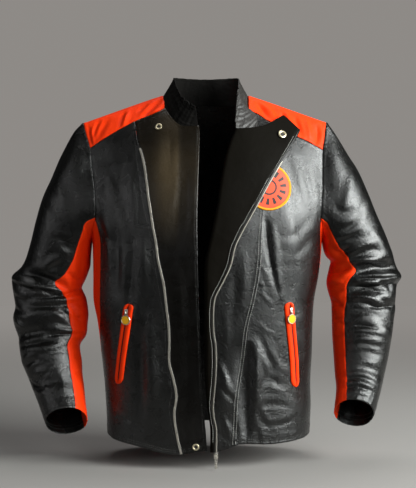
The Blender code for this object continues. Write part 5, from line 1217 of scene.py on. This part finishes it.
def metal_material(name, colour, rough, dull):
    """Plated metal, handled until it is a little uneven."""
    paint, tree, shader = nodes_of(name)
    wear = noise(tree, 420.0, 3.0)
    put(tree, shader, {
        "Base Color": mixed(tree, wear, dull, colour), "Metallic": 1.0,
        "Roughness": ranged(tree, wear, 0.35, 0.65, rough - 0.06, rough + 0.10),
    })
    return paint


def woven_material(name, colour, scale, rough=0.75):
    """Close woven or twisted thread."""
    paint, tree, shader = nodes_of(name)
    weave = add_node(tree, "ShaderNodeTexWave", {"Vector": place_in(tree), "Scale": scale, "Distortion": 1.5},
                     bands_direction="Z").outputs["Fac"]
    put(tree, shader, {
        "Base Color": (*colour, 1.0), "Roughness": rough, "Normal": bumped(tree, weave, 0.0002),
    })
    return paint


def evenly(points, first, pitch):
    """How far along a path its points lie, and where even steps along it fall."""
    run = np.concatenate([[0.0], np.cumsum(np.linalg.norm(np.diff(points, axis=0), axis=1))])
    return run, np.arange(first, run[-1], pitch)


def pace(point, first, second, pitch, sign=1.0):
    """Places at an even pitch along a line on a surface, with directions along it and outwards."""
    first, second = np.broadcast_arrays(np.asarray(first, float), np.asarray(second, float))
    run, places = evenly(point(first, second), pitch / 2, pitch)
    first, second = (np.interp(places, run, values) for values in (first, second))
    origin = point(first, second)
    across = point(first + 0.2, second) - point(first - 0.2, second)
    up = point(first, second + 0.002) - point(first, second - 0.002)
    return origin, unit(np.gradient(origin, axis=0)), unit(np.cross(across, up)) * sign


def along_body(angle, level, out, pitch):
    return pace(lambda angle, level: body(angle, level, out), angle, level, pitch)


def beside(line, distance):
    """The line a distance across the body from another, towards the wearer's left."""
    return lambda level: line(level) + angle_step(line(level), level, distance)


def band_angles(line, levels, offsets):
    """Angles of a strip along a line: a row at each level, a column at each distance aside."""
    middle = line(levels)[:, None]
    return middle + angle_step(middle, levels[:, None], 1.0) * offsets


def laid_mesh(name, paint, places, size, bevel=0.0):
    """Many copies of a stitch, or of a bevelled tooth, each turned along its place on a line."""
    bm = bmesh.new()
    for origin, along, outward in places:
        for spot, run, out in zip(origin, along, outward):
            turn = Matrix((run * size[0], np.cross(out, run) * size[1], out * size[2]))
            turn = turn.transposed().to_4x4()
            turn.translation = spot
            if bevel:
                bmesh.ops.create_cube(bm, size=1.0, matrix=turn)
            else:
                bmesh.ops.create_icosphere(bm, subdivisions=1, radius=0.5, matrix=turn)
    if bevel:
        bmesh.ops.bevel(bm, geom=bm.edges[:], offset=bevel, segments=1, affect="EDGES", profile=0.5,
                        material=-1)
    mesh = mesh_of(bm, name, paint)
    if not bevel:
        mesh.shade_smooth()
    piece = linked(name, mesh)
    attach(piece, "jacket")
    return piece


NICKEL = metal_material("nickel_plate", (0.80, 0.77, 0.70), 0.28, (0.50, 0.47, 0.42))
TEETH = metal_material("zip_teeth", (0.72, 0.68, 0.60), 0.48, (0.50, 0.46, 0.40))
TAPE = woven_material("zip_tape_weave", (0.010, 0.010, 0.010), 900.0)
for side, line, bottom, top, floor, tooth, shift in (
    ("right", ZIP_LINE, -0.672, (-0.1205, -0.103), 0.0003, 0.0040, 0.0),
    ("left", LAPEL_EDGE_LINE, LEFT_ZIP_END, (0.144, -0.128), LEFT_ZIP_FLOOR, 0.0022, 0.0009),
):
    levels = np.linspace(bottom, float(find_front(*top)[1]), 240)
    angle = band_angles(line, levels, np.linspace(-ZIP_HALF_TAPE, ZIP_HALF_TAPE, 7))
    tape = leather_sheet(f"front_zip_{side}_tape", body(angle, levels[:, None], floor + 0.0007), TAPE, 0.0005)
    places = along_body(beside(line, shift)(levels), levels, floor + 0.0013, ZIP_PITCH)
    teeth = laid_mesh(f"front_zip_{side}_teeth", TEETH, [places], (0.00125, tooth, 0.0013), 0.00022)
    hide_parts(f"front_zip_{side}")

# ---------------------------------------------------------------- chest patch
# A round leather patch, orange with a yellow satin-stitched rim, sewn on the left chest half
# under the lapel. Its face carries a plain pattern: a ring of short dark bars round a circle.
PATCH_CENTRE, PATCH_RADIUS, PATCH_BARS, PATCH_THREADS = (0.118, -0.1755), 0.0425, 14.0, 330.0


def patch_material():
    paint, tree, shader = nodes_of("patch_face")

    def reckon(operation, *values):
        return add_node(tree, "ShaderNodeMath", dict(enumerate(values)), operation=operation).outputs[0]

    def band(value, low, high):
        return reckon("MULTIPLY", reckon("GREATER_THAN", value, low), reckon("LESS_THAN", value, high))

    def waves(number):
        return reckon("SINE", reckon("MULTIPLY", turn, number))

    x, z = attribute(tree, "disc_x"), attribute(tree, "disc_z")
    radius = reckon("SQRT", reckon("ADD", reckon("MULTIPLY", x, x), reckon("MULTIPLY", z, z)))
    turn = reckon("ARCTAN2", z, x)
    bars = reckon("MULTIPLY", band(radius, 0.48, 0.76), reckon("GREATER_THAN", waves(PATCH_BARS), 0.15))
    dark = reckon("MAXIMUM", bars, band(radius, 0.26, 0.34))
    rim = reckon("GREATER_THAN", radius, 0.905)
    field = mixed(tree, dark, (0.80, 0.055, 0.012), (0.02, 0.012, 0.01))
    threads = bumped(tree, reckon("MULTIPLY", rim, waves(PATCH_THREADS)), 0.0002)
    put(tree, shader, {
        "Base Color": mixed(tree, rim, field, (0.90, 0.36, 0.012)), "Roughness": 0.50,
        "Specular IOR Level": 0.25, "Normal": bumped(tree, noise(tree, 500.0, 3.0), 0.0002, threads),
    })
    return paint


q, p = np.meshgrid(np.linspace(-1, 1, 61), np.linspace(-1, 1, 61), indexing="ij")
disc_x, disc_z = p * np.sqrt(1 - q * q / 2), q * np.sqrt(1 - p * p / 2)
far = np.hypot(disc_x, disc_z)
crown = 0.0005 * ease((far - 0.89) / 0.03) * (1 - ease((far - 0.975) / 0.03))
crown -= 0.0007 * ease((far - 0.97) / 0.03)
place = find_front(PATCH_CENTRE[0] + PATCH_RADIUS * disc_x, PATCH_CENTRE[1] + PATCH_RADIUS * disc_z)
piece = leather_sheet("chest_patch_face", body(*place, 0.0021 + crown), patch_material(), 0.0012,
                      fields=(("disc_x", disc_x), ("disc_z", disc_z)))
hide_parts("chest_patch")

# ---------------------------------------------------------------- pockets
# Each slanted pocket has two orange leather welts, folded and stitched round a slot, with a
# dark coil zip between them. The inner welt is the wider one; they meet in a rounded top and a
# pointed end.
POCKETS = {"right": ((-0.143, -0.394), (-0.164, -0.543)), "left": ((0.157, -0.392), (0.170, -0.549))}
WELT_EDGES = {"inner": (0.0016, 0.0112), "outer": (0.0016, 0.0082)}
POCKET_LINES = {}
for side, (top, bottom) in POCKETS.items():
    (a1, h1), (a2, h2) = find_front(*top), find_front(*bottom)
    h1, h2 = float(h1), float(h2)
    line = Line([(h2, a2), ((h1 + h2) / 2, (a1 + a2) / 2), (h1, a1)])
    POCKET_LINES[side] = line, h1, h2
    down = np.linspace(0, 1, 90)[:, None]
    levels = (h1 + 0.0016 + (h2 - h1 - 0.0032) * down)[:, 0]
    top_round = np.sqrt(1 - np.clip(1 - down / 0.045, 0, 1) ** 2)
    end_round = np.sqrt(1 - np.clip(1 - (1 - down) / 0.075, 0, 1) ** 1.7)
    rounded = np.minimum(top_round, end_round)
    slot = ease(down / 0.05) * ease((1 - down) / 0.07) * (1 + 0.45 * (1 - ease((down - 0.10) / 0.14)))
    q = np.linspace(0, 1, 11)[None, :]
    crown = 0.0026 * (1 - np.abs(2 * q - 1) ** 2.6) - 0.0003
    for edge in (-1, 1):
        label = "outer" if edge == SIGNS[side] else "inner"
        near, far = WELT_EDGES[label]
        near, far = near * slot, far * rounded
        offsets = edge * (near + (np.maximum(far, near + 0.0002) - near) * q)
        angle = band_angles(line, levels, offsets[:, ::-1] if edge < 0 else offsets)
        points = body(angle, levels[:, None], 0.0006 + crown * (0.45 + 0.55 * rounded))
        piece = leather_sheet(f"pocket_{side}_welt_{label}_leather", points, ORANGE_LEATHER, 0.0011)
        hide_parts(f"pocket_{side}_welt_{label}")
    angle = band_angles(line, levels, np.linspace(-0.0032, 0.0032, 7))
    tape = leather_sheet(f"pocket_{side}_tape", body(angle, levels[:, None], 0.0007), TAPE, 0.0004)
    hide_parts(f"pocket_{side}_zip")
    levels = levels[2:-2]
    coil = [along_body(beside(line, shift)(levels), levels, 0.0013, 0.0014) for shift in (-0.0005, 0.0005)]
    piece = laid_mesh(f"pocket_{side}_coil", TAPE, coil, (0.0008, 0.0013, 0.0011))

# ---------------------------------------------------------------- sliders and pulls
# Three zip sliders, cast and plated, each with a bail on its face. The pockets' pulls are round
# yellow enamelled tags in a plated rim; the front zip's is a plain flat tag. Each hangs by a bar.
ENAMEL, enamel_tree, enamel_shader = nodes_of("yellow_enamel_face")
put(enamel_tree, enamel_shader, {
    "Base Color": (0.74, 0.38, 0.008, 1.0), "Roughness": 0.28, "Coat Weight": 0.5,
})
SLIDER_SIZE, FRONT_SLIDER_SIZE = (0.0058, 0.0022, 0.0105), (0.0080, 0.0035, 0.0124)
BAIL_RADIUS, BAIL_WIRE, BAIL_DROP = 0.0026, 0.0006, 0.0012
TAG_RADIUS, TAG_MIDDLE = 0.0095, (0.0, 0.0, -0.0136)
TAG_FACE = ((0.0, -0.0005), (0.0045, -0.00062), (TAG_RADIUS - 0.0017, -0.0005))  # radius and depth
TAG_RIM = (
    TAG_FACE[-1], (TAG_RADIUS - 0.0015, -0.0010), (TAG_RADIUS - 0.0004, -0.0010), (TAG_RADIUS, -0.0005),
    (TAG_RADIUS, 0.0005), (TAG_RADIUS - 0.0004, 0.0008), (0.0, 0.0008),
)


def surface_frame(angle, level, out):
    across = unit(body(angle + 0.5, level, out) - body(angle - 0.5, level, out))
    up = unit(body(angle, level + 0.004, out) - body(angle, level - 0.004, out))
    outward = unit(np.cross(across, up))
    return body(angle, level, out), across, outward, np.cross(outward, across)


def box_part(bm, size, middle, bevel, segments=2):
    verts = bmesh.ops.create_cube(bm, size=1.0)["verts"]
    bmesh.ops.scale(bm, verts=verts, vec=size)
    bmesh.ops.translate(bm, verts=verts, vec=middle)
    edges = list({edge for vert in verts for edge in vert.link_edges})
    bmesh.ops.bevel(bm, geom=edges, offset=bevel, segments=segments, affect="EDGES", profile=0.6, material=-1)


def turned_part(bm, profile, middle, axis, steps, slot=0):
    """A profile of radius and depth pairs, turned round an axis through the middle."""
    before = set(bm.faces)
    side = Vector((1, 0, 0)) if axis == "y" else Vector((0, 0, 1))
    depth = Vector((0, 1, 0)) if axis == "y" else Vector((1, 0, 0))
    verts = [bm.verts.new(Vector(middle) + side * radius + depth * deep) for radius, deep in profile]
    edges = [bm.edges.new(pair) for pair in zip(verts, verts[1:])]
    bmesh.ops.spin(bm, geom=[*verts, *edges], cent=middle, axis=depth, angle=math.tau, steps=steps,
                   use_merge=True)
    near = list({vert for face in bm.faces if face not in before for vert in face.verts})
    bmesh.ops.remove_doubles(bm, verts=near, dist=1e-6)
    made = [face for face in bm.faces if face not in before]
    bmesh.ops.recalc_face_normals(bm, faces=made)
    for face in made:
        face.material_index = slot


def circle_profile(radius, wire, sides=10, squash=1.0):
    turns = [math.tau * i / sides for i in range(sides + 1)]
    return [(radius + wire * math.cos(t), wire * math.sin(t) * squash) for t in turns]


def placed(name, bm, stand, paints, rides):
    """Turns a mesh from its own axes (x across, -y outward, z up) onto its place."""
    origin, across, outward, up = (Vector(part) for part in stand)
    for vert in bm.verts:
        x, y, z = vert.co
        vert.co = origin + across * x - outward * y + up * z
    bmesh.ops.recalc_face_normals(bm, faces=bm.faces)
    mesh = mesh_of(bm, name, *paints)
    mesh.shade_smooth()
    mesh.set_sharp_from_angle(angle=math.radians(30.0))
    piece = linked(name, mesh)
    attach(piece, rides)
    return piece


def slider_and_pull(label, stand, size, body_name, disc):
    width, deep, tall = size
    bm = bmesh.new()
    box_part(bm, (width, deep * 0.42, tall), (0, -deep * 0.79, 0), 0.0005)
    box_part(bm, (width, deep * 0.36, tall), (0, -deep * 0.18, 0), 0.0005)
    box_part(bm, (width * 0.34, deep * 0.5, tall * 0.5), (0, -deep * 0.5, tall * 0.16), 0.0002)
    turned_part(bm, circle_profile(BAIL_RADIUS, BAIL_WIRE), (0, -deep, -BAIL_DROP), "x", 24)
    piece = placed(f"{label}_slider_body", bm, stand, [NICKEL], "jacket")
    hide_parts(f"{label}_slider")
    origin, across, outward, up = stand
    joint = origin + outward * (deep + (BAIL_RADIUS - BAIL_WIRE) / 2) - up * BAIL_DROP
    bm = bmesh.new()
    for edge in (-1, 1):
        box_part(bm, (0.0009, 0.0011, 0.0048), (edge * 0.00165, 0, -0.0020), 0.0002)
    box_part(bm, (0.0042, 0.0011, 0.0009), (0, 0, 0), 0.0002)
    if disc:
        turned_part(bm, TAG_FACE, TAG_MIDDLE, "y", 48, 1)
        turned_part(bm, TAG_RIM, TAG_MIDDLE, "y", 48)
        bmesh.ops.remove_doubles(bm, verts=bm.verts, dist=0.00001)
    else:
        box_part(bm, (0.0052, 0.0012, 0.0175), (0, 0, -0.01425), 0.0005, 3)
        box_part(bm, (0.0030, 0.0016, 0.0090), (0, 0, -0.0155), 0.0006)
    piece = placed(f"{label}_pull_tag", bm, (joint, across, outward, up), [NICKEL, ENAMEL], body_name)
    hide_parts(f"{label}_pull")


for side, (line, h1, h2) in POCKET_LINES.items():
    level = h1 + (h2 - h1) * 0.085
    stand = surface_frame(line(level), level, 0.0035)
    slider_and_pull(f"pocket_{side}", stand, SLIDER_SIZE, f"{side}_pocket_pull", True)
origin, *axes = surface_frame(LAPEL_EDGE_LINE(LEFT_ZIP_END), LEFT_ZIP_END, LEFT_ZIP_FLOOR - 0.0006)
origin = origin - axes[-1] * (FRONT_SLIDER_SIZE[2] / 2 + 0.0003)
slider_and_pull("front_zip", (origin, *axes), FRONT_SLIDER_SIZE, "front_pull", False)

# ---------------------------------------------------------------- snaps
# Brass ring snaps, riveted through the leather at the neck, at the lapel's corner and at the
# hem: a rolled ring round a flat disc painted near black, the painted shade of a hollow socket.
BRASS = metal_material("aged_brass", (0.74, 0.66, 0.46), 0.36, (0.42, 0.36, 0.24))
# painted shade: the socket is a flat disc whose near-black colour stands for the shade inside a hollow
SOCKET_SHADE, socket_shade_tree, socket_shade_shader = nodes_of("snap_socket_painted_shade")
put(socket_shade_tree, socket_shade_shader, {"Base Color": (0.012, 0.010, 0.008, 1.0), "Roughness": 0.5})
for name, spot, out, radius, wire in (
    ("snap_collar", (-0.088, -0.063), 0.0006, 0.0052, 0.0016),
    ("snap_hem", (-0.018, -0.6585), 0.0006, 0.0049, 0.0016),
    ("snap_lapel", (0.1415, -0.0815), 0.0096, 0.0060, 0.0021),
):
    bm = bmesh.new()
    turned_part(bm, circle_profile(radius, wire, 12, 0.65), (0, -0.0007, 0), "y", 40)
    socket = [(0.0, -0.0003), (radius, -0.0003), (radius, 0.0004), (0.0, 0.0004)]
    turned_part(bm, socket, (0, 0, 0), "y", 28, 1)
    piece = placed(f"{name}_ring", bm, surface_frame(*find_front(*spot), out), [BRASS, SOCKET_SHADE], "jacket")
    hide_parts(name)

# ---------------------------------------------------------------- stitching
# Rows of lockstitch, 3 to 4 mm long and half sunk in the leather: in pale grey thread, a painted
# highlight for the glints on them, both sides of the left front's shaping seam and along the lapel,
# in black thread along the right front's two edges, the hem and the cuffs.
BLACK_THREAD = woven_material("black_thread", (0.085, 0.085, 0.080), 1500.0, 0.42)
# pale grey thread: a painted highlight, standing for the glints on the stitching and on the lapel's rolled
# edge
PAINTED_HIGHLIGHT_THREAD = woven_material("pale_thread_painted_highlight", (0.46, 0.46, 0.43), 1500.0)
STITCH, STITCH_PITCH = (0.0029, 0.0008, 0.0008), 0.0038
levels = np.linspace(-0.655, -0.205, 200)
rows = [
    along_body(beside(LEFT_SEAM_LINE, aside)(levels), levels, 0.0008, 0.0039)
    for aside in (-0.0026, 0.0026)
]
laid_mesh("shaping_seam_stitches", PAINTED_HIGHLIGHT_THREAD, rows, (0.0033, 0.0009, 0.0009))
levels = np.linspace(-0.662, -0.064, 220)
rows = [
    along_body(beside(line, aside)(levels), levels, -0.0001, STITCH_PITCH)
    for line, aside in ((EDGE_LINE, -0.0046), (TOPSTITCH_LINE, 0.0))
]
laid_mesh("right_front_stitches", BLACK_THREAD, rows, STITCH)
rows = []
for start, end in ((EDGE_LINE(-0.66) - 0.7, -179.9), (ROLL_LINE(-0.66) + 9, 180.0)):
    angle = np.linspace(start, end, 300)
    rows += [along_body(angle, HEM_LINE(angle) + rise, 0.0001, STITCH_PITCH) for rise in (0.0052, 0.0088)]
laid_mesh("hem_stitches", BLACK_THREAD, rows, STITCH)
# the lapel's row: pale stitches laid end to end, a painted highlight line along the rolled edge
column = np.argmin(np.abs(lapel_rim - 0.0064), axis=1)
path = lapel_grid[np.arange(len(column)), column][6:-4]
run, places = evenly(path, 0.002, STITCH_PITCH)
origin = np.stack([np.interp(places, run, path[:, i]) for i in range(3)], axis=-1)
facing_out = unit(origin * np.array([1.0, 1.0, 0.0]) - np.array([0.02, 0.0, 0.0]))
rows = [(origin + facing_out * 0.0010, unit(np.gradient(origin, axis=0)), facing_out)]
laid_mesh("lapel_stitches", PAINTED_HIGHLIGHT_THREAD, rows, (0.0038, 0.0008, 0.0008))
for side, sleeve in SLEEVES.items():
    around = np.linspace(0, 359.9, 160)
    rows = [
        pace(lambda angle, station: sleeve.at(station, angle, 0.0001), around, station, STITCH_PITCH,
             sleeve.sign)
        for station in (19.62, 19.35)
    ]
    laid_mesh(f"cuff_{side}_stitches", BLACK_THREAD, rows, STITCH)

# ---------------------------------------------------------------- camera, lights and floor
# A plain studio: a broad lamp high on the right with a small bright one, a weaker one nearer the
# camera, two narrow ones on the left, and one above and behind for the shoulders. The floor
# fades into the plain wall behind it.
CAMERA_HEIGHT, CAMERA_DISTANCE = math.radians(4), 3.0
target = Vector((0.0048, 0.0, -0.288))
back_away = Vector((0.0, -math.cos(CAMERA_HEIGHT), math.sin(CAMERA_HEIGHT)))
camera = linked("camera", bpy.data.cameras.new("camera"))
camera.data.lens, camera.data.sensor_width, camera.data.sensor_fit = 114.7, 36.0, "AUTO"
camera.location = target + back_away * CAMERA_DISTANCE
camera.rotation_euler = (-back_away).to_track_quat("-Z", "Y").to_euler()
bpy.context.scene.camera = camera
WHITE, COOL = (1.0, 1.0, 1.0), (0.96, 1.0, 0.98)
for name, place, size, power, colour in (
    ("key_light", (2.33, -1.14, 0.62), (1.40, 1.7), 205, COOL),
    ("key_core", (1.90, -2.00, 1.05), (0.22, 0.5), 15, WHITE),
    ("half_light", (1.18, -2.30, 0.45), (0.90, 1.6), 22, COOL),
    ("fill_light", (-2.35, -0.95, 0.35), (0.35, 1.8), 8, WHITE),
    ("front_sheen", (-1.45, -2.15, 0.45), (0.18, 1.5), 4, WHITE),
    ("top_light", (0.1, 0.5, 1.9), (1.4, 0.7), 23, WHITE),
):
    lamp = bpy.data.lights.new(name, "AREA")
    lamp.shape, lamp.size, lamp.size_y, lamp.energy, lamp.color = "RECTANGLE", *size, power, colour
    holder = linked(name, lamp)
    holder.location = place
    holder.rotation_euler = (target - Vector(place)).to_track_quat("-Z", "Y").to_euler()

WALL_COLOUR, FLOOR_RADIUS, FLOOR_MIDDLE = (0.27, 0.255, 0.24), 1.65, 1.2
world = bpy.data.worlds.new("studio")
world.use_nodes = True
bpy.context.scene.world = world
sky = world.node_tree
seen = add_node(sky, "ShaderNodeLightPath").outputs["Is Camera Ray"]
put(sky, sky.nodes["Background"], {"Color": mixed(sky, seen, (0.020, 0.020, 0.020), WALL_COLOUR)})
bpy.context.scene.view_settings.view_transform = "Standard"

floor_paint, floor_tree, floor_shader = nodes_of("floor_paint")
behind = add_node(floor_tree, "ShaderNodeSeparateXYZ", {"Vector": place_in(floor_tree)}).outputs["Y"]
fade = ranged(floor_tree, behind, 0.3, 2.4, 0.0, 1.0, "SMOOTHSTEP")
put(floor_tree, floor_shader, {
    "Base Color": mixed(floor_tree, fade, (0.24, 0.23, 0.22), (0.0, 0.0, 0.0)), "Roughness": 0.85,
    "Specular IOR Level": 0.1, "Emission Strength": fade, "Emission Color": (*WALL_COLOUR, 1.0),
})
bm = bmesh.new()
bmesh.ops.create_circle(bm, cap_ends=True, segments=128, radius=FLOOR_RADIUS)
bmesh.ops.translate(bm, verts=bm.verts, vec=(0, FLOOR_MIDDLE, cad_box[0].z - 0.004))
floor = linked("floor", mesh_of(bm, "floor", floor_paint))
floor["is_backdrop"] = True

low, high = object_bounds()
{"cad": [list(corner) for corner in cad_box], "visual": [list(low), list(high)]}
